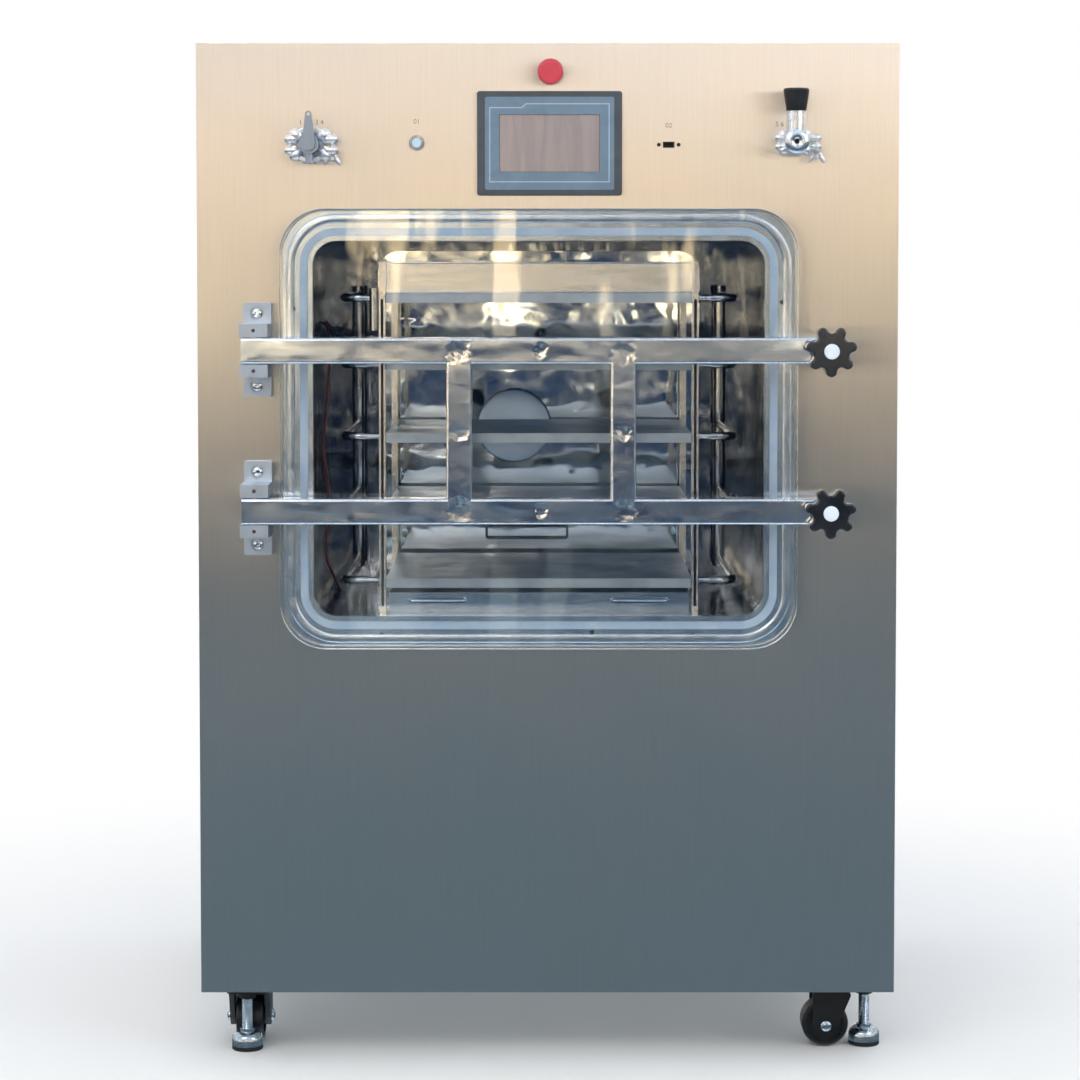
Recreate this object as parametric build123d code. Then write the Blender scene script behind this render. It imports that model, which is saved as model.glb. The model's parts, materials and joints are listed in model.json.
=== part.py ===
from build123d import *
import os
from math import cos, radians, sin

# Pilot-scale freeze dryer on casters, in millimetres.
# X runs to the right as the user faces the door, Y runs to the back, Z runs up from the floor.
# The origin is on the floor, under the middle of the whole machine.
# Depths t are measured from the cabinet's front face: positive towards the user, negative inwards.

os.makedirs("parts", exist_ok=True)

# Cabinet
left_margin = 73.0
right_margin = 75.5
top_margin = 45.0
ground_clearance = 112.0
sheet = 2.0
panel_lip = 20.0
seam = 1.0
tube = 30.0
tube_wall = 2.5
weld_fit = 0.5
screw_r = 2.5
screw_head_r = 4.8
screw_head_h = 2.6
screw_length = 9.0
screw_rows = 4
screw_edge = 60.0

# Chamber and its mouth
chamber_floor = 714.0
mouth_corner = 38.0
side_room = 110.0
roof_room = 33.0
rear_room = 50.0
chamber_wall = 8.0
chamber_back = 12.0
rib_height = 26.0
rib_thick = 8.0
flange_band = 47.0
flange_proud = 6.0
flange_thick = 20.0
flange_corner = 68.0
gasket_width = 12.0
gasket_height = 8.0
gasket_proud = 3.0
gasket_inset = 8.0
gasket_fit = 0.3

# Door
plate_side = 4.0
plate_end = 3.0
plate_thick = 25.0
plate_edge = 3.0
seal_gap = 0.3
pad_radius = 17.0
pad_thick = 6.0
bar = 40.0
bar_wall = 3.0
bar_corner = 4.0
bar_spacing = 249.0
stile_spacing = 254.0
stile_right = 4.0
plate_screw_r = 4.0
plate_screw_depth = 12.5

# Hinges
bracket_gap = 14.0
pin_r = 6.0
pin_fit = 0.05
bar_tail = 19.0
bracket_width = 44.0
bracket_height = 148.0
bracket_thick = 12.0
bracket_corner = 4.0
lug_height = 20.0
lug_gap = 1.25
hinge_bolt_spread = 114.0
hinge_bolt_r = 5.0
hinge_bolt_head_r = 8.0
counterbore_r = 11.0
counterbore_depth = 6.0
hinge_key_r = 4.6
hinge_key_depth = 4.0
set_screw_r = 3.0
set_screw_wall = 2.0

# Star knobs and their threaded sockets
knob_r = 39.5
knob_waist_r = 28.0
knob_lobes = 7
knob_lobe_r = 8.0
knob_valley_r = 7.0
knob_thick = 28.0
knob_edge = 3.0
knob_hub_r = 17.0
knob_hub = 7.0
knob_gap = 0.5
knob_rod_r = 7.0
rod_fit = 0.05
knob_cap_r = 11.0
knob_cap_proud = 1.5
socket_r = 18.0
socket_gap = 2.0
socket_side = 26.0
rod_engaged = 12.0
rod_swing_room = 0.6

# Shelf rack
rack_width = 488.0
rack_depth = 410.0
rack_setback = 60.0
shelf_thick = 15.0
shelf_corner = 3.0
shelf_pitch = 116.0
low_shelf_rise = 45.0
open_shelves = 4
top_box_height = 50.0
top_shelf_drop = 9.5
top_box_wall = 2.0
upright_thick = 10.0
upright_depth = 25.0
tray_height = 30.0
tray_wall = 1.5
tray_side_gap = 5.0
tray_handle_z = 18.0
tray_handle_span = 88.0
tray_handle_spread = 322.0
tray_handle_wire = 3.0
tray_handle_reach = 14.0

# Fluid circuit of the shelves
union_r = 9.0
union_nut = 14.0
union_tail_r = 5.0
union_tail = 18.0
union_depth = 45.0
hose_r = 7.0
manifold_side = 30.0
hose_bend = 26.0
manifold_r = 11.0
manifold_setback = 40.0
manifold_end = 16.5
sleeve_r = 8.0
sleeve_length = 67.0

# Rear baffle
baffle_thick = 2.0
baffle_gap = 12.0
baffle_side_gap = 22.0
baffle_margin = 14.0
baffle_foot_r = 6.0
baffle_foot_inset = 93.0
vapour_left = 43.0
vapour_rise = 273.0
vapour_r = 52.0
disc_r = 64.0
disc_thick = 3.0
disc_gap = 14.0
stud_r = 3.0
baffle_handle_width = 145.0
baffle_handle_height = 25.0
baffle_handle_left = 21.0
baffle_handle_rise = 86.0
baffle_handle_wire = 2.0
baffle_handle_corner = 6.0
baffle_handle_off = 8.0
baffle_stud_spread = 113.0

# Probe cable on the left wall
cable_r = 2.5
cable_wall_gap = 0.3
# Its turning points: out from the wall, behind the rack's front, below the top shelf
cable_route = (
    (2.0, 370.0, 66.0), (0.0, 270.0, 50.0), (2.0, 140.0, 40.0), (16.0, 60.0, 70.0), (12.0, 52.0, 150.0),
    (4.0, 46.0, 240.0), (16.0, 52.0, 330.0), (6.0, 44.0, 414.5), (28.0, 70.0, 469.5),
)
cable_bends = [40.0, 90.0, 90.0, 30.0, 50.0, 80.0, 80.0, 60.0]

# Cold trap and the machinery below
trap_r = 140.0
trap_length = 620.0
trap_wall = 4.0
trap_gap = 30.0
trap_room = 58.0
duct_r = 60.0
coil_r = 105.0
coil_wire = 6.0
coil_pitch = 48.0
coil_turns = 9
compressor_r = 95.0
compressor_height = 290.0
compressor_foot = 12.0
compressor_wall = 6.0
compressor_dome = 30.0
compressor_foot_out = 15.0
compressor_side = 78.0
compressor_pitch = 270.0
compressor_setback = 260.0
condenser_side = 28.0
machine_gap = 40.0
condenser_height = 380.0
condenser_thick = 66.0
condenser_gap = 26.0
shroud_depth = 50.0
shroud_wall = 2.0
fan_r = 150.0
fan_tip_gap = 8.0
fan_hub_r = 32.0
fan_blades = 5
fan_motor_r = 42.0
fan_motor_length = 70.0
fan_gap = 4.0
fan_shaft_r = 5.0
fan_pitch = 28.0
blade_thick = 2.5
blade_root = 5.0
blade_clear = 3.5
arm_width = 24.0
arm_thick = 4.0
copper_r = 6.0
line_bend = 30.0
line_rise = 120.0
line_climb = 100.0
line_drop = 60.0
line_out = 40.0
line_inset = 30.0
tank_width = 240.0
tank_depth = 200.0
tank_height = 260.0
tank_wall = 2.5
tank_corner = 12.0
tank_side = 68.0
tank_setback = 160.0
pump_r = 45.0
pump_length = 150.0
pump_gap = 60.0
pump_pipe_r = 12.0
box_width = 420.0
box_height = 360.0
box_depth = 150.0
box_side = 58.0
box_setback = 60.0
box_wall = 1.5
lid_inset = 6.0
lid_thick = 2.0

# Rear connections and vents
port_left = 236.0
port_r = 20.0
port_wall = 2.0
port_reach = 34.0
port_rim_r = 27.5
port_rim = 5.0
inlet_side = 120.0
inlet_rise = 128.0
inlet_width = 56.0
inlet_height = 44.0
inlet_thick = 6.0
inlet_body = 40.0
inlet_rim = 6.5
inlet_wall = 3.5
inlet_corner = 4.0
pin_width = 2.0
pin_height = 6.0
pin_across = 8.0
pin_up = 5.0
vent_slots = 14
vent_slot_height = 7.0
vent_slot_pitch = 22.0
vent_edge = 20.0
vent_rise = 30.0
side_slot_length = 260.0
side_slot_setback = 260.0
side_slot_rise = 98.0
side_cap_width = 32.0
side_cap_height = 50.0
side_cap_proud = 3.0
side_cap_corner = 6.0
side_cap_setback = 60.0
side_cap_rise = 175.0

# Touch screen
hmi_right = 17.0
hmi_gap = 20.5
hmi_width = 226.5
hmi_height = 163.0
hmi_bezel = 6.0
hmi_back_width = 212.0
hmi_back_height = 148.0
hmi_back = 40.0
hmi_fit = 0.5
hmi_corner = 4.0
hmi_edge = 1.2
screen_width = 156.0
screen_height = 89.0
screen_sunk = 1.0
screen_thick = 1.5
screen_fit = 0.2

# Emergency stop and power button
estop_right = 1.0
estop_gap = 29.5
estop_collar_r = 15.0
estop_collar = 6.0
control_hole_r = 11.0
estop_stem_r = 7.0
estop_head_r = 20.0
estop_head = 16.0
estop_neck_r = 9.0
estop_travel = 6.0
estop_back = 34.0
estop_bore = 17.0
estop_spigot_r = 3.5
estop_spigot = 8.0
estop_dome = 6.0
button_left = 208.0
button_rise = 1.0
button_bezel_r = 12.0
button_bezel = 4.0
button_cap_r = 7.0
button_cap_proud = 1.2
button_travel = 2.0
button_back = 24.0
button_bore = 12.0
button_edge = 1.0
press_clearance = 1.0
slide_fit = 0.08

# Data socket
data_right = 186.5
data_drop = 2.0
data_width = 18.0
data_height = 9.5
data_wall = 1.6
data_depth = 14.0
data_proud = 0.5
data_screw_spread = 31.0
data_screw_r = 3.0
data_screw_head = 1.6

# Flanged valve stubs and clamps
stub_r = 14.0
stub_wall = 2.0
stub_rim_r = 20.0
stub_rim = 3.0
stub_length = 24.0
clamp_r = 27.0
clamp_width = 16.0
clamp_fit = 0.3
clamp_split = 5.0
clamp_lug = 16.0
clamp_lug_height = 9.0
clamp_bolt_r = 3.0
clamp_bolt_out = 34.0
clamp_bolt_head_r = 4.8
clamp_bolt_head = 4.0
clamp_lug_in = 3.0
clamp_corner = 3.0
clamp_link = 6.0
clamp_link_inset = 2.0
wing_nut_r = 6.0
wing_nut_height = 9.0
wing_span = 26.0
wing_thick = 4.0
wing_rise = 13.0
wing_gap = 0.4
wing_root = 2.0
wing_corner = 3.0
wing_end = 3.0
thread_out = 1.0

# Left valve
left_valve_side = 180.0
left_valve_drop = 3.0
valve_body_r = 15.0
valve_body = 26.0
nozzle_r = 6.0
nozzle_drop = 26.0
nozzle_flare_r = 11.0
nozzle_flare = 4.0
lever_r = 10.0
lever_tip_r = 5.0
lever_length = 46.0
lever_thick = 6.0
lever_hole_r = 2.5
lever_gap = 0.5
lever_pin_r = 4.0

# Right valve
right_valve_side = 165.0
right_valve_rise = 1.0
elbow_r = 18.0
bore_r = 4.0
bore_depth = 12.0
column_r = 15.5
column_top = 47.0
tap_r_low = 15.5
tap_r_high = 20.5
tap_height = 35.0
tap_gap = 0.4
tap_stem_r = 4.0
tap_stem = 18.0
tap_stem_room = 1.0
tap_edge = 3.0

# Caster units
caster_side = 65.0
caster_inset = 110.0
pad_plate_x = 96.0
pad_plate_y = 80.0
pad_plate = 4.0
swivel_boss_r = 17.0
swivel_gap = 0.3
king_pin_r = 7.0
king_nut_r = 12.0
king_nut = 5.0
fork_top = 98.0
fork_plate = 6.0
fork_width = 66.0
fork_corner = 14.0
fork_tail = 23.0
fork_nose = 3.0
cheek = 8.0
cheek_set = 2.0
cheek_front = 8.0
cheek_half = 10.0
cheek_slope = 20.0
cheek_under = 14.0
cheek_corner = 5.0
wheel_r = 37.5
wheel_width = 44.0
wheel_offset = 35.0
wheel_lift = 0.5
wheel_edge = 5.0
wheel_rim = 8.0
wheel_hub_r = 14.0
wheel_dish = 5.0
hub_gap = 0.5
axle_r = 5.0
axle_head_r = 8.5
axle_head = 4.0
foot_offset = 30.0
foot_r = 25.0
foot_height = 29.0
foot_rubber = 6.0
foot_dome = 9.0
foot_groove = 1.0
foot_stud_r = 9.0
foot_stud_top = 97.0
foot_sleeve_r = 13.5
foot_sleeve = 8.0
caster_turns = {
    "front_left": ((-1, -1), -90.0),
    "front_right": ((1, -1), 0.0),
    "rear_left": ((-1, 1), 180.0),
    "rear_right": ((1, 1), 90.0),
}

# Chamber, mouth and door, worked out from the shelf rack outwards
mouth_width = rack_width + 2 * side_room
floor_z = chamber_floor
low_shelf_z = floor_z + low_shelf_rise
top_shelf_z = low_shelf_z + open_shelves * shelf_pitch - top_shelf_drop
top_box_z = top_shelf_z + shelf_thick / 2
roof_z = top_box_z + top_box_height + roof_room
mouth_height = roof_z - floor_z
mouth_z = floor_z + mouth_height / 2
flange_width = mouth_width + 2 * flange_band
flange_height = mouth_height + 2 * flange_band
plate_width = flange_width + 2 * plate_side
plate_height = flange_height + 2 * plate_end
plate_corner = flange_corner + plate_side
hinge_out = plate_width / 2 + bracket_gap + bracket_width / 2
knob_out = plate_width / 2 + socket_side + socket_r
left_reach = hinge_out + bracket_width / 2 + left_margin
right_reach = knob_out + knob_r + right_margin
cabinet_width = left_reach + right_reach
half_width = cabinet_width / 2
mouth_x = half_width - right_reach
hinge_x = mouth_x - hinge_out
knob_x = mouth_x + knob_out
shelf_zs = [low_shelf_z + i * shelf_pitch for i in range(open_shelves)] + [top_shelf_z]
hose_reach = side_room - manifold_r - manifold_side
baffle_side = hose_reach - manifold_r - baffle_side_gap
vapour_x, vapour_z = mouth_x - vapour_left, floor_z + vapour_rise
baffle_handle_x, baffle_handle_z = mouth_x - baffle_handle_left, floor_z + baffle_handle_rise

# Controls over the door, and the cabinet's top
hmi_x = mouth_x + hmi_right
hmi_z = mouth_z + plate_height / 2 + hmi_gap + hmi_height / 2
estop_x, estop_z = hmi_x + estop_right, hmi_z + hmi_height / 2 + estop_gap
button_x, button_z = hmi_x - button_left, hmi_z + button_rise
data_x, data_z = hmi_x + data_right, hmi_z - data_drop
left_valve_x, left_valve_z = left_valve_side - half_width, hmi_z - left_valve_drop
right_valve_x, right_valve_z = half_width - right_valve_side, hmi_z + right_valve_rise
cabinet_top = estop_z + top_margin
cabinet_height = cabinet_top - ground_clearance

# Depths, from the front face inwards and outwards
gasket_front = flange_proud + gasket_proud
plate_back = gasket_front + seal_gap
plate_front = plate_back + plate_thick
bar_back = plate_front + pad_thick
bar_front = bar_back + bar
bar_middle = bar_back + bar / 2
knob_back = bar_front + knob_gap
knob_front = knob_back + knob_hub + knob_thick
front_reach = knob_front + knob_cap_proud
rear_reach = port_reach
chamber_depth = rack_setback + rack_depth + rear_room
cabinet_depth = chamber_depth + chamber_back + trap_gap + 2 * trap_r + trap_room
face_y = -(cabinet_depth + rear_reach - front_reach) / 2
rear_face = -cabinet_depth
shell_back = flange_proud - flange_thick
wall_inner = -chamber_depth
wall_outer = wall_inner - chamber_back
rack_front = -rack_setback
rack_back = rack_front - rack_depth
baffle_back = wall_inner + baffle_gap
baffle_front = baffle_back + baffle_thick
trap_t = wall_outer - trap_gap - trap_r

# Frame, rack sides and machinery
bar_zs = (mouth_z + bar_spacing / 2, mouth_z - bar_spacing / 2)
stile_x = mouth_x + stile_right
stile_xs = (stile_x - stile_spacing / 2, stile_x + stile_spacing / 2)
bar_left = hinge_x - bar_tail
bar_right = knob_x + bar / 2
rib_bottom = floor_z - chamber_wall - rib_height
rack_left = mouth_x - rack_width / 2
rack_right = mouth_x + rack_width / 2
caster_x = half_width - caster_side
frame_x = half_width - sheet
post_x = frame_x - tube / 2
inner_x = frame_x - tube
frame_front = -sheet
frame_back = rear_face + sheet
frame_low = ground_clearance + sheet
frame_top = cabinet_top - sheet
pan_z = frame_low + tube
pan_top = pan_z + sheet
compressor_side_r = compressor_r + compressor_foot_out
first_compressor = compressor_side - inner_x + compressor_side_r
compressor_xs = (first_compressor, first_compressor + compressor_pitch)
compressor_t = rear_face + compressor_setback
condenser_left = compressor_xs[1] + compressor_side_r + machine_gap
condenser_width = inner_x - condenser_side - condenser_left
condenser_x = condenser_left + condenser_width / 2
tank_x, tank_t = inner_x - tank_side - tank_width / 2, -tank_setback - tank_depth / 2
box_x, box_t = box_side - inner_x + box_width / 2, -box_setback
port_x = mouth_x - port_left
inlet_x, inlet_z = inlet_side - half_width, ground_clearance + inlet_rise
side_slot_t, side_slot_z = rear_face + side_slot_setback, ground_clearance + side_slot_rise


def at_front(t):
    """The frame of a sketch drawn in X and Z, set at depth t in front of the cabinet face."""
    return Pos(0, face_y, 0) * Rot(90, 0, 0) * Pos(0, 0, t)


def slab(sketch, t0, t1):
    """Extrude a sketch in X and Z from depth t0 to depth t1."""
    return at_front(min(t0, t1)) * extrude(sketch, amount=abs(t1 - t0))


def disc(x, z, r, t0, t1):
    return slab(Pos(x, z) * Circle(r), t0, t1)


def block(x0, x1, t0, t1, z0, z1):
    """A box between two X values, two depths and two heights."""
    size = (abs(x1 - x0), abs(t1 - t0), abs(z1 - z0))
    return Pos((x0 + x1) / 2, face_y - (t0 + t1) / 2, (z0 + z1) / 2) * Box(*size)


def upright_rod(x, t, r, z0, z1):
    return Pos(x, face_y - t, (z0 + z1) / 2) * Cylinder(r, abs(z1 - z0))


def cross_rod(t, z, r, x0, x1):
    return Pos((x0 + x1) / 2, face_y - t, z) * Rot(0, 90, 0) * Cylinder(r, abs(x1 - x0))


def square_tube(x0, x1, t0, t1, z0, z1, wall, along):
    """A square tube, open at both ends along the named axis."""
    inner = {
        "x": (x0, x1, t0 + wall, t1 - wall, z0 + wall, z1 - wall),
        "y": (x0 + wall, x1 - wall, t0, t1, z0 + wall, z1 - wall),
        "z": (x0 + wall, x1 - wall, t0 + wall, t1 - wall, z0, z1),
    }
    return block(x0, x1, t0, t1, z0, z1) - block(*inner[along])


def rounded(width, height, corner, x=mouth_x, z=mouth_z):
    return Pos(x, z) * RectangleRounded(width, height, corner)


def piped(points, bends, r):
    """A round tube along straight runs joined by tangent arcs; points are (x, t, z)."""
    places = [Vector(x, face_y - t, z) for x, t, z in points]
    path = FilletPolyline(*places, radius=bends) if len(places) > 2 else Line(*places)
    start = Plane(origin=path @ 0, z_dir=path % 0)
    return sweep(start * Circle(r), path=path)


def group(pieces):
    return Compound(children=[piece for piece in pieces])


def save(name, shape):
    export_step(shape, f"parts/{name}.step")


# ---------------------------------------------------------------- cabinet


def screw_heights(low, high):
    step = (high - low - 2 * screw_edge) / (screw_rows - 1)
    return [low + screw_edge + i * step for i in range(screw_rows)]


def side_screw_places():
    """Y-Z places of the side panels' screws, as depth and height."""
    overlap = ((-panel_lip - seam) + (frame_front - tube)) / 2
    depths = (overlap, frame_back + tube / 2)
    return [(t, z) for t in depths for z in screw_heights(ground_clearance, frame_top)]


def rear_screw_places():
    return [(x, z) for x in (-post_x, post_x) for z in screw_heights(ground_clearance, frame_top)]


def screw_holes():
    """Clearance holes for every panel screw, through the sheet and into the frame."""
    reach = sheet + screw_length
    holes = []
    for t, z in side_screw_places():
        for side in (-1, 1):
            outer, inner = side * half_width, side * (half_width - reach)
            holes.append(cross_rod(t, z, screw_r, inner, outer))
    for x, z in rear_screw_places():
        holes.append(disc(x, z, screw_r, rear_face, rear_face + reach))
    return holes


def panel_screws():
    """Pan-head screws, each with its shank through the panel into the frame tube."""
    screws = []
    reach = screw_length
    for t, z in side_screw_places():
        for side in (-1, 1):
            face = side * half_width
            shank = cross_rod(t, z, screw_r, face - side * reach, face)
            head = cross_rod(t, z, screw_head_r, face, face + side * screw_head_h)
            screws.append(shank + head)
    for x, z in rear_screw_places():
        shank = disc(x, z, screw_r, rear_face, rear_face + reach)
        head = disc(x, z, screw_head_r, rear_face - screw_head_h, rear_face)
        screws.append(shank + head)
    return screws


def caster_centre(corner):
    """X and depth of a caster's swivel axis, from its left/right and front/rear signs."""
    depth = -caster_inset if corner[1] < 0 else caster_inset - cabinet_depth
    return corner[0] * caster_x, depth


def caster_pad(corner):
    """Bolted top plate with its boss, king pin and nut."""
    x, t = caster_centre(corner)
    plate_low = frame_low - pad_plate
    half_x, half_y = pad_plate_x / 2, pad_plate_y / 2
    plate = block(x - half_x, x + half_x, t - half_y, t + half_y, plate_low, frame_low)
    boss = upright_rod(x, t, swivel_boss_r, fork_top + swivel_gap, plate_low)
    nut_top = fork_top - fork_plate - swivel_gap
    pin = upright_rod(x, t, king_pin_r, nut_top - king_nut, plate_low)
    nut = upright_rod(x, t, king_nut_r, nut_top - king_nut, nut_top)
    return plate + boss + pin + nut


def make_base_frame():
    """Welded square-tube frame: posts, three rings, chamber rails and caster pads."""
    x0, x1 = -frame_x, frame_x
    t0, t1 = frame_back, frame_front
    z0, z1 = frame_low, frame_top
    parts = []
    for low in (x0, x1 - tube):
        for back in (t0, t1 - tube):
            post = square_tube(low, low + tube, back, back + tube, z0, z1, tube_wall, "z")
            parts.append(post)
    rail_low = rib_bottom - seal_gap - tube
    for low in (z0, rail_low, z1 - tube):
        for left in (x0, x1 - tube):
            span = (t0 + tube, t1 - tube)
            parts.append(square_tube(left, left + tube, *span, low, low + tube, tube_wall, "y"))
    for low in (z0, z1 - tube):
        for back in (t0, t1 - tube):
            span = (x0 + tube, x1 - tube)
            parts.append(square_tube(*span, back, back + tube, low, low + tube, tube_wall, "x"))
    inner = (x0 + tube, x1 - tube)
    for t in (rack_front, wall_inner + tube):
        parts.append(square_tube(*inner, t - tube, t, rail_low, rail_low + tube, tube_wall, "x"))
    for t in (-caster_inset, caster_inset - cabinet_depth):
        beam = (t - tube / 2, t + tube / 2)
        parts.append(square_tube(*inner, *beam, z0, z0 + tube, tube_wall, "x"))
    for corner, _ in caster_turns.values():
        parts.append(caster_pad(corner))
    holes = screw_holes()
    return group([part.cut(*holes) if i < 4 else part for i, part in enumerate(parts)])


def make_front_panel():
    """Folded front sheet with its four returns and the cut-outs for door and controls."""
    middle_z = ground_clearance + cabinet_height / 2
    outer = Pos(0, middle_z) * Rectangle(cabinet_width, cabinet_height)
    inner_size = (cabinet_width - 2 * sheet, cabinet_height - 2 * sheet)
    inner = Pos(0, middle_z) * Rectangle(*inner_size)
    panel = slab(outer, -panel_lip, 0) - slab(inner, -panel_lip, -sheet)
    cuts = [
        slab(rounded(*flange_outline(weld_fit)), -sheet, 0),
        slab(Pos(hmi_x, hmi_z) * Rectangle(*hmi_body_size(hmi_fit)), -sheet, 0),
        disc(estop_x, estop_z, control_hole_r + slide_fit, -sheet, 0),
        disc(button_x, button_z, control_hole_r + slide_fit, -sheet, 0),
        slab(Pos(data_x, data_z) * Rectangle(data_width, data_height), -sheet, 0),
        disc(left_valve_x, left_valve_z, stub_r, -sheet, 0),
        disc(right_valve_x, right_valve_z, stub_r, -sheet, 0),
    ]
    return panel.cut(*cuts)


def hmi_body_size(margin=0.0):
    return hmi_back_width + 2 * margin, hmi_back_height + 2 * margin


def flange_outline(margin=0.0):
    return flange_width + 2 * margin, flange_height + 2 * margin, flange_corner + margin


def vent_cuts(x0, x1, t0, t1, z0):
    """A ladder of level ventilation slots."""
    heights = [z0 + i * vent_slot_pitch for i in range(vent_slots)]
    return [block(x0, x1, t0, t1, z, z + vent_slot_height) for z in heights]


def make_side_panels():
    """Two flat side sheets with ventilation slots low at the back."""
    front, back = -panel_lip - seam, rear_face + sheet
    slot = (side_slot_t - side_slot_length / 2, side_slot_t + side_slot_length / 2)
    holes = screw_holes()
    panels = []
    for side in (-1, 1):
        outer, inner = side * half_width, side * frame_x
        panel = block(inner, outer, back, front, ground_clearance, frame_top)
        panels.append(panel.cut(*vent_cuts(inner, outer, *slot, side_slot_z), *holes))
    panels[0] += side_cap()
    return group(panels)


def side_cap():
    """Low cover over the wiring hole in the left side, close to the front."""
    outline = RectangleRounded(side_cap_height, side_cap_width, side_cap_corner)
    cap = Rot(0, -90, 0) * extrude(outline, amount=side_cap_proud)
    return Pos(-half_width, face_y + side_cap_setback, ground_clearance + side_cap_rise) * cap


def make_top_panel():
    return block(-half_width, half_width, rear_face, -panel_lip - seam, frame_top, cabinet_top)


def make_rear_panel():
    """Flat rear sheet with slots behind the condenser and holes for its connections."""
    panel = block(-half_width, half_width, rear_face, rear_face + sheet, ground_clearance, frame_top)
    half = condenser_width / 2 - vent_edge
    across = (condenser_x - half, condenser_x + half)
    slots = vent_cuts(*across, rear_face, rear_face + sheet, pan_top + vent_rise)
    port = disc(port_x, vapour_z, port_r + port_wall, rear_face, rear_face + sheet)
    body = inlet_section(inlet_rim - weld_fit)
    inlet = slab(Pos(inlet_x, inlet_z) * body, rear_face, rear_face + sheet)
    return panel.cut(*slots, port, inlet, *screw_holes())


def inlet_section(inset):
    """The power inlet's outline, brought in by an inset on each side."""
    return Rectangle(inlet_width - 2 * inset, inlet_height - 2 * inset)


def make_floor_pan():
    """Drip pan that carries the machinery, laid on the side tubes between the posts."""
    return block(-frame_x, frame_x, frame_back + tube, frame_front - tube, pan_z, pan_top)


# ---------------------------------------------------------------- chamber


def make_chamber_shell():
    """Welded chamber with a heavier rear wall, two stiffening ribs and the vapour hole."""
    w, h, r = mouth_width, mouth_height, mouth_corner
    grow = 2 * chamber_wall
    outer = rounded(w + grow, h + grow, r + chamber_wall)
    shell = slab(outer, wall_outer, shell_back) - slab(rounded(w, h, r), wall_inner, shell_back)
    ribbed = grow + 2 * rib_height
    rib = rounded(w + ribbed, h + ribbed, r + chamber_wall) - outer
    for t in (rack_front, wall_inner + tube):
        shell += slab(rib, t - tube / 2 - rib_thick / 2, t - tube / 2 + rib_thick / 2)
    return shell - disc(vapour_x, vapour_z, duct_r - trap_wall, wall_outer, wall_inner)


def gasket_outline(margin):
    """Gasket centre band grown or shrunk by a margin on each side."""
    size = 2 * (gasket_inset + gasket_width + margin)
    hole = 2 * (gasket_inset - margin)
    corner = mouth_corner + gasket_inset
    outer = rounded(mouth_width + size, mouth_height + size, corner + gasket_width + margin)
    return outer - rounded(mouth_width + hole, mouth_height + hole, corner - margin)


def make_door_flange():
    """Machined ring around the mouth, with the groove that holds the gasket."""
    ring = rounded(*flange_outline()) - rounded(mouth_width, mouth_height, mouth_corner)
    flange = slab(ring, shell_back, flange_proud)
    groove_floor = gasket_front - gasket_height
    return flange - slab(gasket_outline(gasket_fit), groove_floor, flange_proud)


def make_door_gasket():
    return slab(gasket_outline(0.0), gasket_front - gasket_height, gasket_front)


def baffle_size():
    return rack_width + 2 * baffle_side, mouth_height - 2 * baffle_margin


def make_rear_baffle():
    """Lift-out rear plate with the round hole that lets the vapour through."""
    plate = slab(rounded(*baffle_size(), mouth_corner), baffle_back, baffle_front)
    return plate - disc(vapour_x, vapour_z, vapour_r, baffle_back, baffle_front)


def make_baffle_fittings():
    """What the rear plate carries: a round disc on studs over its hole, a wire handle and feet."""
    width, height = baffle_size()
    disc_back = baffle_front + disc_gap
    cover = disc(vapour_x, vapour_z, disc_r, disc_back, disc_back + disc_thick)
    stud_ring = (disc_r + vapour_r) / 2
    for angle in (90, 210, 330):
        x = vapour_x + stud_ring * cos(radians(angle))
        z = vapour_z + stud_ring * sin(radians(angle))
        cover += disc(x, z, stud_r, baffle_front, disc_back)
    feet = []
    for x in (-1, 1):
        for z in (-1, 1):
            foot_x = mouth_x + x * (width / 2 - baffle_foot_inset)
            foot_z = mouth_z + z * (height / 2 - baffle_foot_inset)
            feet.append(disc(foot_x, foot_z, baffle_foot_r, wall_inner, baffle_back))
    return group([cover, baffle_handle(), *feet])


def baffle_handle():
    """Closed wire loop, held off the plate by two short studs."""
    wire = baffle_handle_wire
    t = baffle_front + baffle_handle_off
    at = Pos(baffle_handle_x, baffle_handle_z)
    width, height, corner = baffle_handle_width, baffle_handle_height, baffle_handle_corner
    loop = RectangleRounded(width, height, corner)
    loop -= RectangleRounded(width - 4 * wire, height - 4 * wire, corner - 2 * wire)
    handle = slab(at * loop, t - wire, t + wire)
    for side in (-1, 1):
        x = baffle_handle_x + side * baffle_stud_spread / 2
        handle += disc(x, baffle_handle_z + height / 2 - wire, wire, baffle_front, t)
    return handle


def make_shelf_rack():
    """Four flat uprights joined at the top by the open-bottomed support box."""
    box = block(rack_left, rack_right, rack_back, rack_front, top_box_z, top_box_z + top_box_height)
    w = top_box_wall
    rack = box - block(
        rack_left + w, rack_right - w, rack_back + w, rack_front - w,
        top_box_z, top_box_z + top_box_height - w,
    )
    for left in (rack_left - upright_thick, rack_right):
        for back in (rack_back, rack_front - upright_depth):
            rack += block(
                left, left + upright_thick, back, back + upright_depth,
                floor_z, top_box_z + top_box_height,
            )
    return rack


def make_heated_shelves():
    """Hollow fluid-heated shelves, seen as plain plates with softened corners."""
    shelves = []
    for z in shelf_zs:
        half = shelf_thick / 2
        plate = block(rack_left, rack_right, rack_back, rack_front, z - half, z + half)
        shelves.append(fillet(plate.edges().filter_by(Axis.Z), shelf_corner))
    return group(shelves)


def tray_box():
    """Outer limits of the drip tray: X, depth and height pairs."""
    return (
        (rack_left + tray_side_gap, rack_right - tray_side_gap),
        (rack_back + tray_side_gap, rack_front),
        (floor_z, floor_z + tray_height),
    )


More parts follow.
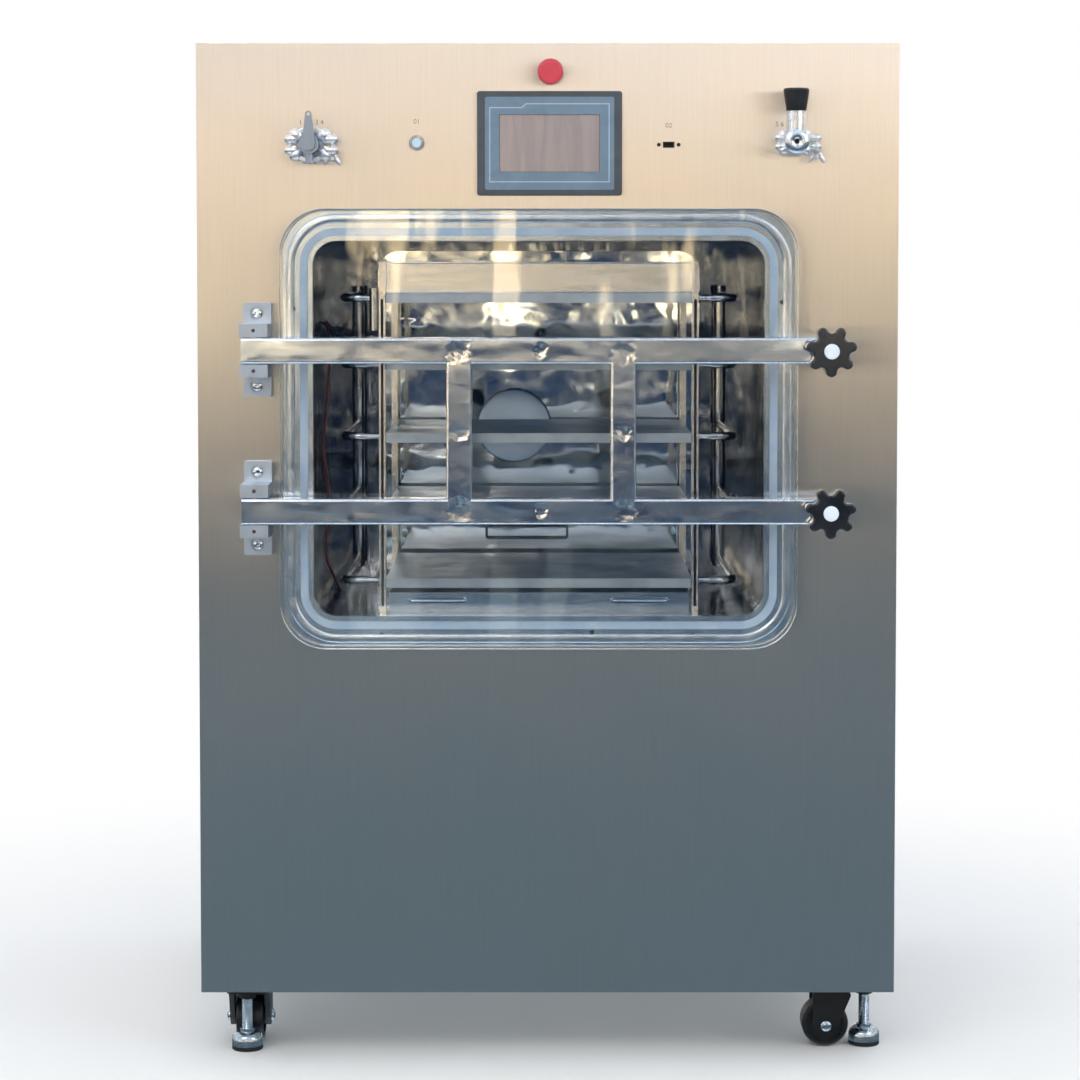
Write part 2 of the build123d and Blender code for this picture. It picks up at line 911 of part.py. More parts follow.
def make_drip_tray():
    """Open pan on the chamber floor, with two bar handles on its front wall."""
    (x0, x1), (t0, t1), (z0, z1) = tray_box()
    w = tray_wall
    tray = block(x0, x1, t0, t1, z0, z1) - block(x0 + w, x1 - w, t0 + w, t1 - w, z0 + w, z1)
    z = z0 + tray_handle_z
    wire = tray_handle_wire
    out = t1 + tray_handle_reach
    for side in (-1, 1):
        middle = mouth_x + side * tray_handle_spread / 2
        ends = (middle - tray_handle_span / 2, middle + tray_handle_span / 2)
        points = [(ends[0], t1, z), (ends[0], out, z), (ends[1], out, z), (ends[1], t1, z)]
        tray += piped(points, 2 * wire, wire)
    return tray


# ---------------------------------------------------------------- shelf fluid circuit


def union_t():
    return rack_front - union_depth


def make_shelf_unions():
    """Hexagon unions on the shelf sides, each with its straight tail."""
    unions = []
    for side, edge in ((-1, rack_left), (1, rack_right)):
        for z in shelf_zs:
            nut = extrude(RegularPolygon(union_r, 6), amount=union_nut)
            tail = Cylinder(union_tail_r, union_tail, align=(Align.CENTER, Align.CENTER, Align.MIN))
            turned = Pos(edge, face_y - union_t(), z) * Rot(0, side * 90, 0)
            unions.append(turned * (nut + Pos(0, 0, union_nut) * tail))
    return group(unions)


def manifold_x(side):
    return mouth_x + side * (rack_width / 2 + hose_reach)


def make_shelf_hoses():
    """Hoses from every union round to the two upright manifolds, and the left sleeve."""
    parts = []
    rear = wall_inner + manifold_setback
    start = union_nut + union_tail
    for side, edge in ((-1, rack_left), (1, rack_right)):
        far = manifold_x(side)
        for z in shelf_zs:
            points = [(edge + side * start, union_t(), z), (far, union_t(), z), (far, rear + manifold_r, z)]
            parts.append(piped(points, hose_bend, hose_r))
        low, high = shelf_zs[0] - manifold_end, shelf_zs[-1] + manifold_end
        pipe = upright_rod(far, rear, manifold_r, low, high)
        parts.append(pipe + disc(far, shelf_zs[1] - shelf_pitch / 2, union_tail_r, wall_inner, rear))
    sleeve_x = rack_left - upright_thick - sleeve_r
    sleeve_t = rack_front - upright_depth / 2
    sleeve_top = top_box_z + sleeve_r
    parts.append(upright_rod(sleeve_x, sleeve_t, sleeve_r, sleeve_top - sleeve_length, sleeve_top))
    return group(parts)


def make_probe_cable():
    """Temperature probe cable along the left wall, from the rear wall to the lowest shelf."""
    near = mouth_x - mouth_width / 2 + cable_wall_gap + cable_r
    places = []
    for out, behind, below in cable_route:
        places.append((near + out, rack_front - behind, top_shelf_z - below))
    out, _, below = cable_route[0]
    start = (near + out, wall_inner, top_shelf_z - below)
    return piped([start] + places, cable_bends, cable_r)


# ---------------------------------------------------------------- door


def make_door_plate():
    """Clear acrylic plate with rounded outline and eased edges."""
    plate = slab(rounded(plate_width, plate_height, plate_corner), plate_back, plate_front)
    edges = plate.faces().sort_by(Axis.Y)[0].edges()
    plate = fillet(edges, plate_edge)
    screw_end = plate_front - plate_screw_depth
    holes = [disc(x, z, plate_screw_r, screw_end, plate_front) for x, z in pad_places()]
    return plate.cut(*holes)


def pad_places():
    """X and Z of the four pads between the door frame and the clear plate."""
    middle_x = (stile_xs[0] + stile_xs[1]) / 2
    places = [(middle_x, z) for z in bar_zs]
    return places + [(x, mouth_z) for x in stile_xs]


def make_door_frame():
    """Welded square-tube frame: two bars, two stiles, end blocks and four pads."""
    edge = bar_corner
    half = bar / 2
    profile = RectangleRounded(bar, bar, edge)
    bore = Rectangle(bar - 2 * bar_wall, bar - 2 * bar_wall)
    frame = None
    for z in bar_zs:
        lie = Pos(bar_left, face_y - bar_middle, z) * Rot(0, 90, 0)
        length = bar_right - bar_left
        solid = lie * extrude(profile, amount=length)
        hollow_start = hinge_x + half - bar_left
        hollow = lie * Pos(0, 0, hollow_start) * extrude(bore, amount=length - hollow_start - bar)
        piece = solid - hollow
        frame = piece if frame is None else frame + piece
    for x in stile_xs:
        low = Pos(x, face_y - bar_middle, bar_zs[1] + half - edge)
        frame += low * extrude(profile, amount=bar_spacing - bar + 2 * edge)
    for x, z in pad_places():
        frame += disc(x, z, pad_radius, plate_front, bar_back + edge)
        tip = plate_front - plate_screw_depth + seam
        frame += disc(x, z, plate_screw_r - slide_fit, tip, bar_back)
    for z in bar_zs:
        frame -= upright_rod(hinge_x, bar_middle, pin_r + pin_fit, z - half, z + half)
        frame -= disc(knob_x, z, knob_rod_r + rod_fit, bar_back, bar_front)
    return frame


def lug_span():
    """Distances from a bar's middle to the near and far side of a hinge lug."""
    near = bar / 2 + lug_gap
    return near, near + lug_height


def make_hinge_brackets():
    """Two brackets, each a back plate with two forward lugs, bored for pin and bolts."""
    near, far = lug_span()
    half = bracket_width / 2
    lug_tip = bar_front - bar_corner
    brackets = []
    left, right = hinge_x - half, hinge_x + half
    for z in bar_zs:
        low, high = z - bracket_height / 2, z + bracket_height / 2
        plate = block(left, right, 0, bracket_thick, low, high)
        bracket = fillet(plate.edges().filter_by(Axis.Y), bracket_corner)
        for side in (-1, 1):
            bracket += block(left, right, bracket_thick, lug_tip, z + side * near, z + side * far)
            bolt_z = z + side * hinge_bolt_spread / 2
            bracket -= disc(hinge_x, bolt_z, hinge_bolt_r, 0, bracket_thick)
            sunk = bracket_thick - counterbore_depth
            bracket -= disc(hinge_x, bolt_z, counterbore_r, sunk, bracket_thick)
            set_z = z + side * (near + far) / 2
            bracket -= disc(hinge_x, set_z, set_screw_r, bar_middle + pin_r + set_screw_wall, lug_tip)
        bracket -= upright_rod(hinge_x, bar_middle, pin_r, z - far, z + far)
        brackets.append(bracket)
    return group(brackets)


def hinge_fasteners():
    """Hinge pins pressed in the lugs, and the cap screws that hold the brackets."""
    _, far = lug_span()
    parts = []
    for z in bar_zs:
        parts.append(upright_rod(hinge_x, bar_middle, pin_r, z - far, z + far))
        for side in (-1, 1):
            bolt_z = z + side * hinge_bolt_spread / 2
            seat = bracket_thick - counterbore_depth
            shank = disc(hinge_x, bolt_z, hinge_bolt_r, 0, seat)
            head = disc(hinge_x, bolt_z, hinge_bolt_head_r, seat, bracket_thick)
            key_floor = bracket_thick - hinge_key_depth
            key = slab(Pos(hinge_x, bolt_z) * RegularPolygon(hinge_key_r, 6), key_floor, bracket_thick)
            parts.append(shank + head - key)
    return parts


def make_fasteners():
    """The cabinet's screws and its hinges' pins and bolts."""
    return group([*panel_screws(), *hinge_fasteners()])


def make_clamp_sockets():
    """Threaded sockets on the cabinet face that take the ends of the knob rods."""
    front = bar_back - socket_gap
    sockets = []
    for z in bar_zs:
        body = disc(knob_x, z, socket_r, 0, front)
        bore = disc(knob_x, z, knob_rod_r + rod_swing_room, front - rod_engaged - socket_gap, front)
        sockets.append(body - bore)
    return group(sockets)


def star_outline():
    """Round lobes on a round middle, one straight down, with arcs filled in between them."""
    star = Circle(knob_waist_r)
    for i in range(knob_lobes):
        angle = 360 * i / knob_lobes - 90
        star += Rot(0, 0, angle) * Pos(knob_r - knob_lobe_r, 0) * Circle(knob_lobe_r)
    return fillet(star.vertices(), knob_valley_r)


def make_knob(z):
    """Star knob with its hub, inlaid cap and threaded rod."""
    star_back = knob_back + knob_hub
    star = slab(Pos(knob_x, z) * star_outline(), star_back, knob_front)
    star = fillet(star.faces().sort_by(Axis.Y)[0].edges(), knob_edge)
    hub = disc(knob_x, z, knob_hub_r, knob_back, star_back)
    cap = disc(knob_x, z, knob_cap_r, knob_front, knob_front + knob_cap_proud)
    rod_tip = bar_back - socket_gap - rod_engaged
    return star + hub + cap + disc(knob_x, z, knob_rod_r, rod_tip, knob_back)


# ---------------------------------------------------------------- controls


def make_hmi_housing():
    """Screen housing: front bezel with a sunk window, and the body behind the panel."""
    at = Pos(hmi_x, hmi_z)
    bezel = slab(at * RectangleRounded(hmi_width, hmi_height, hmi_corner), 0, hmi_bezel)
    bezel = chamfer(bezel.faces().sort_by(Axis.Y)[0].edges(), hmi_edge)
    body = slab(at * Rectangle(*hmi_body_size()), -hmi_back, 0)
    window = at * Rectangle(screen_width + 2 * screen_fit, screen_height + 2 * screen_fit)
    return bezel + body - slab(window, hmi_bezel - screen_sunk - screen_thick, hmi_bezel)


def make_hmi_screen():
    front = hmi_bezel - screen_sunk
    return slab(Pos(hmi_x, hmi_z) * Rectangle(screen_width, screen_height), front - screen_thick, front)


def make_estop_collar():
    """Collar in the panel hole, with the contact block behind it."""
    collar = disc(estop_x, estop_z, estop_collar_r, 0, estop_collar)
    collar += disc(estop_x, estop_z, control_hole_r, -estop_bore, 0)
    side = 2 * control_hole_r
    collar += slab(Pos(estop_x, estop_z) * Rectangle(side, side), -estop_back, -estop_bore)
    return collar - disc(estop_x, estop_z, estop_stem_r + slide_fit, -estop_bore, estop_collar)


def estop_head_back():
    return estop_collar + estop_travel + press_clearance


def make_estop_plunger():
    """Stem that slides in the collar and carries the mushroom head."""
    tip = -estop_bore + estop_travel + press_clearance
    shoulder = estop_head_back()
    stem = disc(estop_x, estop_z, estop_stem_r, tip, shoulder)
    return stem + disc(estop_x, estop_z, estop_spigot_r, shoulder, shoulder + estop_spigot)


def make_estop_head():
    """Domed mushroom head, free to twist on the stem's spigot."""
    back = estop_head_back() + wing_gap
    head = disc(estop_x, estop_z, estop_head_r, back, back + estop_head)
    head = fillet(head.faces().sort_by(Axis.Y)[0].edges(), estop_dome)
    top = back + estop_spigot
    return head - disc(estop_x, estop_z, estop_spigot_r + slide_fit, back, top)


def make_power_button_bezel():
    bezel = disc(button_x, button_z, button_bezel_r, 0, button_bezel)
    bezel = chamfer(bezel.faces().sort_by(Axis.Y)[0].edges(), button_edge)
    bezel += disc(button_x, button_z, control_hole_r, -button_back, 0)
    return bezel - disc(button_x, button_z, button_cap_r + slide_fit, -button_bore, button_bezel)


def make_power_button_cap():
    front = button_bezel + button_cap_proud
    tip = -button_bore + button_travel + press_clearance
    return disc(button_x, button_z, button_cap_r, tip, front)


def make_data_socket():
    """Rectangular data socket in its slot, with a screw at each side."""
    at = Pos(data_x, data_z)
    body = slab(at * Rectangle(data_width, data_height), -data_depth - data_wall, data_proud)
    hollow = at * Rectangle(data_width - 2 * data_wall, data_height - 2 * data_wall)
    socket = body - slab(hollow, -data_depth, data_proud)
    screws = []
    for side in (-1, 1):
        x = data_x + side * data_screw_spread / 2
        screws.append(disc(x, data_z, data_screw_r, 0, data_screw_head))
    return group([socket] + screws)


# ---------------------------------------------------------------- valves


def stub(x, z):
    """Flanged tube stub through the panel; its rim is what the clamp grips."""
    back = -stub_length
    tube_part = disc(x, z, stub_r, back, stub_length)
    rim = disc(x, z, stub_rim_r, stub_length - 2 * stub_rim, stub_length)
    return tube_part + rim


def clamp_middle():
    return stub_length - stub_rim


def clamp_bolt_x(x):
    return x + clamp_bolt_out


def make_clamp(x, z):
    """Two half rings linked at the left and drawn together by a bolt at the right."""
    t = clamp_middle()
    t0, t1 = t - clamp_width / 2, t + clamp_width / 2
    ring = Pos(x, z) * Circle(clamp_r)
    split = Pos(x, z) * Rectangle(4 * clamp_r, clamp_split)
    lug_x = clamp_r + clamp_lug / 2 - clamp_lug_in
    body_height = clamp_split + 2 * clamp_lug_height
    for side in (-1, 1):
        ring += Pos(x + side * lug_x, z) * RectangleRounded(clamp_lug, body_height, clamp_corner)
    ring -= Pos(x, z) * Circle(stub_rim_r + clamp_fit)
    jaws = slab(ring - split, t0, t1)
    bolt_x, seat = clamp_bolt_x(x), z + body_height / 2
    bolt_tip = z - nut_drop() - wing_nut_height - thread_out
    bolt = upright_rod(bolt_x, t, clamp_bolt_r, bolt_tip, seat)
    head = upright_rod(bolt_x, t, clamp_bolt_head_r, seat, seat + clamp_bolt_head)
    link_x = (x - clamp_bolt_out - clamp_link / 2, x - clamp_bolt_out + clamp_link / 2)
    link_t = (t0 + clamp_link_inset, t1 - clamp_link_inset)
    link = block(*link_x, *link_t, z - clamp_split / 2, z + clamp_split / 2)
    return jaws + bolt + head + link


def make_valve_clamps():
    return group([make_clamp(left_valve_x, left_valve_z), make_clamp(right_valve_x, right_valve_z)])


def nut_drop():
    """How far the wing nut's top lies under the clamp's middle."""
    return clamp_split / 2 + clamp_lug_height + wing_gap


def make_wing_nut(x, z):
    """Wing nut under the clamp's right lugs, bored for the bolt."""
    bolt_x, t = clamp_bolt_x(x), clamp_middle()
    top = z - nut_drop()
    hub = upright_rod(bolt_x, t, wing_nut_r, top - wing_nut_height, top)
    root, half = wing_nut_r - wing_root, wing_span / 2
    low = -wing_nut_height - wing_rise
    nut = hub
    for side in (-1, 1):
        outline = Polyline(
            (side * root, -wing_root), (side * half, -wing_nut_height),
            (side * half, low + wing_corner), (side * (half - wing_corner), low),
            (side * (half - wing_corner - wing_end), low), (side * root, -wing_nut_height),
            close=True,
        )
        wing = Pos(bolt_x, top) * make_face(outline)
        nut += slab(wing, t - wing_thick / 2, t + wing_thick / 2)
    return nut - upright_rod(bolt_x, t, clamp_bolt_r + rod_fit, top + low, top)


def clamp_front():
    return clamp_middle() + clamp_width / 2


def left_nozzle_t():
    return clamp_front() + seam + nozzle_flare_r


def left_body_front():
    return left_nozzle_t() + valve_body / 2


def make_left_valve_body():
    """Stub, round body, nozzle with its flared end, and the lever's pivot."""
    x, z = left_valve_x, left_valve_z
    front = left_body_front()
    body = stub(x, z) + disc(x, z, valve_body_r, stub_length, front)
    middle = left_nozzle_t()
    body += upright_rod(x, middle, nozzle_r, z - nozzle_drop, z)
    flare_low = z - nozzle_drop - nozzle_flare
    body += upright_rod(x, middle, nozzle_flare_r, flare_low, z - nozzle_drop)
    body += disc(x, z, lever_pin_r, front, front + lever_gap + lever_thick)
    return body - disc(x, z, stub_r - stub_wall, -stub_length, stub_length - 2 * stub_rim)


def make_left_valve_lever():
    """Teardrop lever with a hole near its tip."""
    x, z = left_valve_x, left_valve_z
    back = left_body_front() + lever_gap
    tip_z = z + lever_length
    taper = Polyline(
        (x - lever_r, z), (x + lever_r, z), (x + lever_tip_r, tip_z), (x - lever_tip_r, tip_z), close=True
    )
    outline = make_face(taper) + Pos(x, z) * Circle(lever_r) + Pos(x, tip_z) * Circle(lever_tip_r)
    outline -= Pos(x, tip_z) * Circle(lever_hole_r)
    outline -= Pos(x, z) * Circle(lever_pin_r + rod_fit)
    return slab(outline, back, back + lever_thick)


def column_t():
    return clamp_front() + seam + column_r


def make_right_valve_body():
    """Stub, elbow with its front bore, and the column the tap turns in."""
    x, z = right_valve_x, right_valve_z
    middle = column_t()
    front = middle + column_r
    body = stub(x, z) + disc(x, z, elbow_r, stub_length, front)
    body += upright_rod(x, middle, column_r, z, z + column_top)
    body -= disc(x, z, bore_r, front - bore_depth, front)
    socket_floor = z + column_top - tap_stem - tap_stem_room
    body -= upright_rod(x, middle, tap_stem_r + rod_fit, socket_floor, z + column_top)
    return body - disc(x, z, stub_r - stub_wall, -stub_length, stub_length - 2 * stub_rim)


def make_right_valve_knob():
    """Tapered knob, wider at the top, on a plain stem."""
    x = right_valve_x
    t = column_t()
    low = right_valve_z + column_top + tap_gap
    cone = Pos(x, face_y - t, low + tap_height / 2) * Cone(tap_r_low, tap_r_high, tap_height)
    cone = fillet(cone.faces().sort_by(Axis.Z)[-1].edges(), tap_edge)
    return cone + upright_rod(x, t, tap_stem_r, low - tap_gap - tap_stem, low)


# ---------------------------------------------------------------- machinery


def make_cold_trap():
    """Hollow vessel behind the chamber with its vapour duct, and the coil inside it."""
    half = trap_length / 2
    inner_half = half - trap_wall
    outer = cross_rod(trap_t, vapour_z, trap_r, mouth_x - half, mouth_x + half)
    outer += disc(vapour_x, vapour_z, duct_r, trap_t, wall_outer)
    ends = (mouth_x - inner_half, mouth_x + inner_half)
    inner = cross_rod(trap_t, vapour_z, trap_r - trap_wall, *ends)
    inner += disc(vapour_x, vapour_z, duct_r - trap_wall, trap_t, wall_outer)
    path = Helix(coil_pitch, coil_pitch * coil_turns, coil_r)
    wire = sweep(Plane(origin=path @ 0, z_dir=path % 0) * Circle(coil_wire), path=path, is_frenet=True)
    run = coil_pitch * coil_turns / 2
    coil = Pos(mouth_x - run, face_y - trap_t, vapour_z) * Rot(0, 90, 0) * wire
    for side, end in zip((-1, 1), ends):
        coil += cross_rod(trap_t, vapour_z - coil_r, coil_wire, mouth_x + side * run, end)
    return group([outer - inner, coil])


def make_compressors():
    """Two hermetic compressors: domed body on a flat foot."""
    parts = []
    low = pan_top + compressor_foot
    top = low + compressor_height
    cavity_r = compressor_r - compressor_wall
    side = compressor_side_r
    for x in compressor_xs:
        body = upright_rod(x, compressor_t, compressor_r, low, top)
        body = fillet(body.edges().filter_by(GeomType.CIRCLE), compressor_dome)
        body -= upright_rod(x, compressor_t, cavity_r, low + compressor_dome, top - compressor_dome)
        foot_t = (compressor_t - side, compressor_t + side)
        parts.append(body + block(x - side, x + side, *foot_t, pan_top, low))
    return group(parts)


def condenser_front():
    return rear_face + sheet + condenser_gap + condenser_thick


def fan_centre_z():
    return pan_top + condenser_height / 2


def make_condenser():
    """Finned block on the pan behind the rear vents, with its fan shroud and motor arm."""
    back = rear_face + sheet + condenser_gap
    front = condenser_front()
    x0, x1 = condenser_x - condenser_width / 2, condenser_x + condenser_width / 2
    z1 = pan_top + condenser_height
    core = block(x0, x1, back, front, pan_top, z1)
    shroud = block(x0, x1, front, front + shroud_depth, pan_top, z1)
    w = shroud_wall
    shroud -= block(x0 + w, x1 - w, front, front + shroud_depth - w, pan_top + w, z1 - w)
    hole_r = fan_r + fan_tip_gap
    shroud -= disc(condenser_x, fan_centre_z(), hole_r, front + shroud_depth - w, front + shroud_depth)
    arm_t = front + shroud_depth
    arm_x = (condenser_x - arm_width / 2, condenser_x + arm_width / 2)
    arm = block(*arm_x, arm_t, arm_t + arm_thick, pan_top, z1)
    motor = disc(condenser_x, fan_centre_z(), fan_motor_r, arm_t, arm_t + fan_motor_length)
    shaft = disc(condenser_x, fan_centre_z(), fan_shaft_r, front + fan_gap, arm_t)
    return core + shroud + arm + motor + shaft


def make_condenser_fan():
    """Pitched blades round a hub, between the core and the shroud's ring."""
    z = fan_centre_z()
    back = condenser_front() + fan_gap
    front = condenser_front() + shroud_depth - fan_gap
    fan = disc(condenser_x, z, fan_hub_r, back, front)
    length = fan_r - fan_hub_r + blade_root
    room = front - back - 2 * blade_clear - blade_thick * cos(radians(fan_pitch))
    chord = room / sin(radians(fan_pitch))
    blade = Pos(fan_r - length / 2, 0, 0) * Rot(fan_pitch, 0, 0) * Box(length, chord, blade_thick)
    for i in range(fan_blades):
        turned = Rot(0, 0, i * 360 / fan_blades) * blade
        fan += at_front((back + front) / 2) * Pos(condenser_x, z, 0) * turned
    return fan - disc(condenser_x, z, fan_shaft_r + rod_fit, back, front)


def make_refrigerant_lines():
    """Copper lines: each compressor to the trap, and one to the condenser."""
    top = pan_top + compressor_foot + compressor_height
    trap_low = vapour_z - trap_r
    lines = []
    for x in compressor_xs:
        bend, high = top + line_rise, top + line_rise + line_climb
        points = [(x, compressor_t, top), (x, compressor_t, bend), (x, trap_t, high), (x, trap_t, trap_low)]
        lines.append(piped(points, line_bend, copper_r))
    near = compressor_xs[1] + compressor_r
    far = near + line_out
    z = pan_top + condenser_height - line_drop
    core_t = condenser_front() - line_inset
    points = [(near, compressor_t, z - line_drop), (far, compressor_t, z - line_drop)]
    points += [(far, core_t, z), (condenser_x - condenser_width / 2, core_t, z)]
    lines.append(piped(points, 2 * copper_r, copper_r))
    return group(lines)


def make_fluid_tank():
    """Shelf-fluid tank with the circulation pump on its left."""
    x0, x1 = tank_x - tank_width / 2, tank_x + tank_width / 2
    t0, t1 = tank_t - tank_depth / 2, tank_t + tank_depth / 2
    tank = block(x0, x1, t0, t1, pan_top, pan_top + tank_height)
    tank = fillet(tank.edges().filter_by(Axis.Z), tank_corner)
    w = tank_wall
    cavity = block(x0 + w, x1 - w, t0 + w, t1 - w, pan_top + w, pan_top + tank_height - w)
    tank -= fillet(cavity.edges().filter_by(Axis.Z), tank_corner - w)
    pump_x = x0 - pump_gap - pump_r
    pump = upright_rod(pump_x, tank_t, pump_r, pan_top, pan_top + pump_length)
    link = cross_rod(tank_t, pan_top + pump_r, pump_pipe_r, pump_x, x0)
    return tank + pump + link


def make_electrical_box():
    """Closed switch-gear box with its lid lip, standing on the pan behind the front."""
    x0, x1 = box_x - box_width / 2, box_x + box_width / 2
    w = box_wall
    z1 = pan_top + box_height
    body = block(x0, x1, box_t - box_depth, box_t, pan_top, z1)
    body -= block(x0 + w, x1 - w, box_t - box_depth + w, box_t - w, pan_top + w, z1 - w)
    inset = lid_inset
    lid = block(x0 + inset, x1 - inset, box_t, box_t + lid_thick, pan_top + inset, z1 - inset)
    return body + lid


def make_vacuum_port():
    """Pump connection: tube from the trap through the rear panel, ending in a flanged rim."""
    trap_back = trap_t - trap_r
    outer = disc(port_x, vapour_z, port_r + port_wall, trap_back, rear_face - port_reach)
    rim = disc(port_x, vapour_z, port_rim_r, rear_face - port_reach + port_rim, rear_face - port_reach)
    bore = disc(port_x, vapour_z, port_r, trap_back, rear_face - port_reach)
    return outer + rim - bore


def make_power_inlet():
    """Recessed mains inlet on the rear panel: flange plate, body and three flat pins."""
    at = Pos(inlet_x, inlet_z)
    outline = RectangleRounded(inlet_width, inlet_height, inlet_corner)
    well_floor = rear_face + inlet_body / 2
    plate = slab(at * outline, rear_face, rear_face - inlet_thick)
    body = slab(at * inlet_section(inlet_rim), rear_face, rear_face + inlet_body)
    well = slab(at * inlet_section(inlet_rim + inlet_wall), well_floor, rear_face - inlet_thick)
    inlet = plate + body - well
    for x, z in ((-pin_across, -pin_up), (pin_across, -pin_up), (0, pin_up)):
        pin = Pos(inlet_x + x, inlet_z + z) * Rectangle(pin_width, pin_height)
        inlet += slab(pin, well_floor, rear_face + inlet_thick)
    return inlet


# ---------------------------------------------------------------- casters


def caster_frame(name):
    """Local frame of a caster: X from the swivel axis to the foot, Y along the axle, Z up."""
    corner, turn = caster_turns[name]
    x, t = caster_centre(corner)
    return Pos(x, face_y - t, 0) * Rot(0, 0, turn)


def axle_z():
    return wheel_r + wheel_lift


def make_fork(name):
    """Fork with its top plate, two cheeks, foot sleeve and axle bolt."""
    low = fork_top - fork_plate
    back = -wheel_offset - fork_tail
    front = foot_offset + foot_sleeve_r + fork_nose
    top_outline = RectangleRounded(front - back, fork_width, fork_corner)
    plate = Pos((back + front) / 2, 0, low) * extrude(top_outline, amount=fork_plate)
    z = axle_z()
    outline = Polyline(
        (back + cheek_set, low), (cheek_front, low), (-wheel_offset + cheek_slope, z),
        (-wheel_offset + cheek_half, z - cheek_under), (-wheel_offset - cheek_half, z - cheek_under),
        (back + cheek_set, z), close=True,
    )
    side_face = fillet(make_face(outline).vertices(), cheek_corner)
    body = plate
    for side in (-1, 1):
        inner = side * (fork_width / 2 - cheek / 2)
        cheek_plate = Rot(90, 0, 0) * extrude(side_face, amount=cheek / 2, both=True)
        body += Pos(0, inner, 0) * cheek_plate
    body += Pos(foot_offset, 0, low - foot_sleeve / 2) * Cylinder(foot_sleeve_r, foot_sleeve)
    body -= Cylinder(king_pin_r + rod_fit, 3 * fork_top)
    body -= Pos(foot_offset, 0, 0) * Cylinder(foot_stud_r + rod_fit, 3 * fork_top)
    body -= Pos(-wheel_offset, 0, z) * Rot(90, 0, 0) * Cylinder(axle_r, 2 * fork_width)
    axle = Pos(-wheel_offset, 0, z) * Rot(90, 0, 0) * Cylinder(axle_r, fork_width)
    for side in (-1, 1):
        y = side * (fork_width / 2 + axle_head / 2)
        axle += Pos(-wheel_offset, y, z) * Rot(90, 0, 0) * Cylinder(axle_head_r, axle_head)
    return caster_frame(name) * group([body, axle])


def make_wheel(name):
    """Solid wheel with eased tread, dished sides, hub and bore."""
    hub_width = fork_width - 2 * cheek - 2 * hub_gap
    wheel = Cylinder(wheel_r, wheel_width)
    wheel = fillet(wheel.edges().filter_by(GeomType.CIRCLE), wheel_edge)
    dish = extrude(Circle(wheel_r - wheel_rim) - Circle(wheel_hub_r), amount=wheel_dish)
    for low in (-wheel_width / 2, wheel_width / 2 - wheel_dish):
        wheel -= Pos(0, 0, low) * dish
    wheel += Cylinder(wheel_hub_r, hub_width)
    wheel -= Cylinder(axle_r + rod_fit, 2 * fork_width)
    return caster_frame(name) * Pos(-wheel_offset, 0, axle_z()) * Rot(90, 0, 0) * wheel


def make_foot(name):
    """Levelling foot: rubber pad, domed base and threaded stud."""
    dome = Pos(0, 0, foot_height / 2) * Cylinder(foot_r, foot_height)
    dome = fillet(dome.edges().filter_by(GeomType.CIRCLE).sort_by(Axis.Z)[-1], foot_dome)
    step = foot_groove
    groove = Pos(0, 0, foot_rubber) * (Cylinder(foot_r + step, step) - Cylinder(foot_r - step, step))
    stud_length = foot_stud_top - foot_height
    stud = Pos(0, 0, foot_height + stud_length / 2) * Cylinder(foot_stud_r, stud_length)
    return caster_frame(name) * Pos(foot_offset, 0, 0) * (dome - groove + stud)


# ---------------------------------------------------------------- all nodes

save("base_frame", make_base_frame())
save("front_panel", make_front_panel())
save("side_panels", make_side_panels())
save("top_panel", make_top_panel())
save("rear_panel", make_rear_panel())
save("floor_pan", make_floor_pan())
save("chamber_shell", make_chamber_shell())
save("door_flange", make_door_flange())
save("door_gasket", make_door_gasket())
save("rear_baffle", make_rear_baffle())
save("baffle_fittings", make_baffle_fittings())
save("shelf_rack", make_shelf_rack())
save("heated_shelves", make_heated_shelves())
save("drip_tray", make_drip_tray())
save("shelf_unions", make_shelf_unions())
save("shelf_hoses", make_shelf_hoses())
save("probe_cable", make_probe_cable())
save("door_plate", make_door_plate())
save("door_frame", make_door_frame())
save("hinge_brackets", make_hinge_brackets())
save("fasteners", make_fasteners())
save("clamp_sockets", make_clamp_sockets())
save("upper_knob", make_knob(bar_zs[0]))
save("lower_knob", make_knob(bar_zs[1]))
save("hmi_housing", make_hmi_housing())
save("hmi_screen", make_hmi_screen())
save("estop_collar", make_estop_collar())
save("estop_plunger", make_estop_plunger())
save("estop_head", make_estop_head())
save("power_button_bezel", make_power_button_bezel())
save("power_button_cap", make_power_button_cap())
save("data_socket", make_data_socket())
save("left_valve_body", make_left_valve_body())
save("left_valve_lever", make_left_valve_lever())
save("left_wing_nut", make_wing_nut(left_valve_x, left_valve_z))
save("right_valve_body", make_right_valve_body())
save("right_valve_knob", make_right_valve_knob())
save("valve_clamps", make_valve_clamps())
save("right_wing_nut", make_wing_nut(right_valve_x, right_valve_z))
save("cold_trap", make_cold_trap())
save("compressors", make_compressors())
save("condenser", make_condenser())
save("condenser_fan", make_condenser_fan())
save("refrigerant_lines", make_refrigerant_lines())
save("fluid_tank", make_fluid_tank())
save("electrical_box", make_electrical_box())
save("vacuum_port", make_vacuum_port())
save("power_inlet", make_power_inlet())
for caster in caster_turns:
    save(f"{caster}_fork", make_fork(caster))
    save(f"{caster}_wheel", make_wheel(caster))
    save(f"{caster}_foot", make_foot(caster))
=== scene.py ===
import bmesh
import bpy
import json
from math import cos, pi, radians, sin
from mathutils import Matrix, Vector


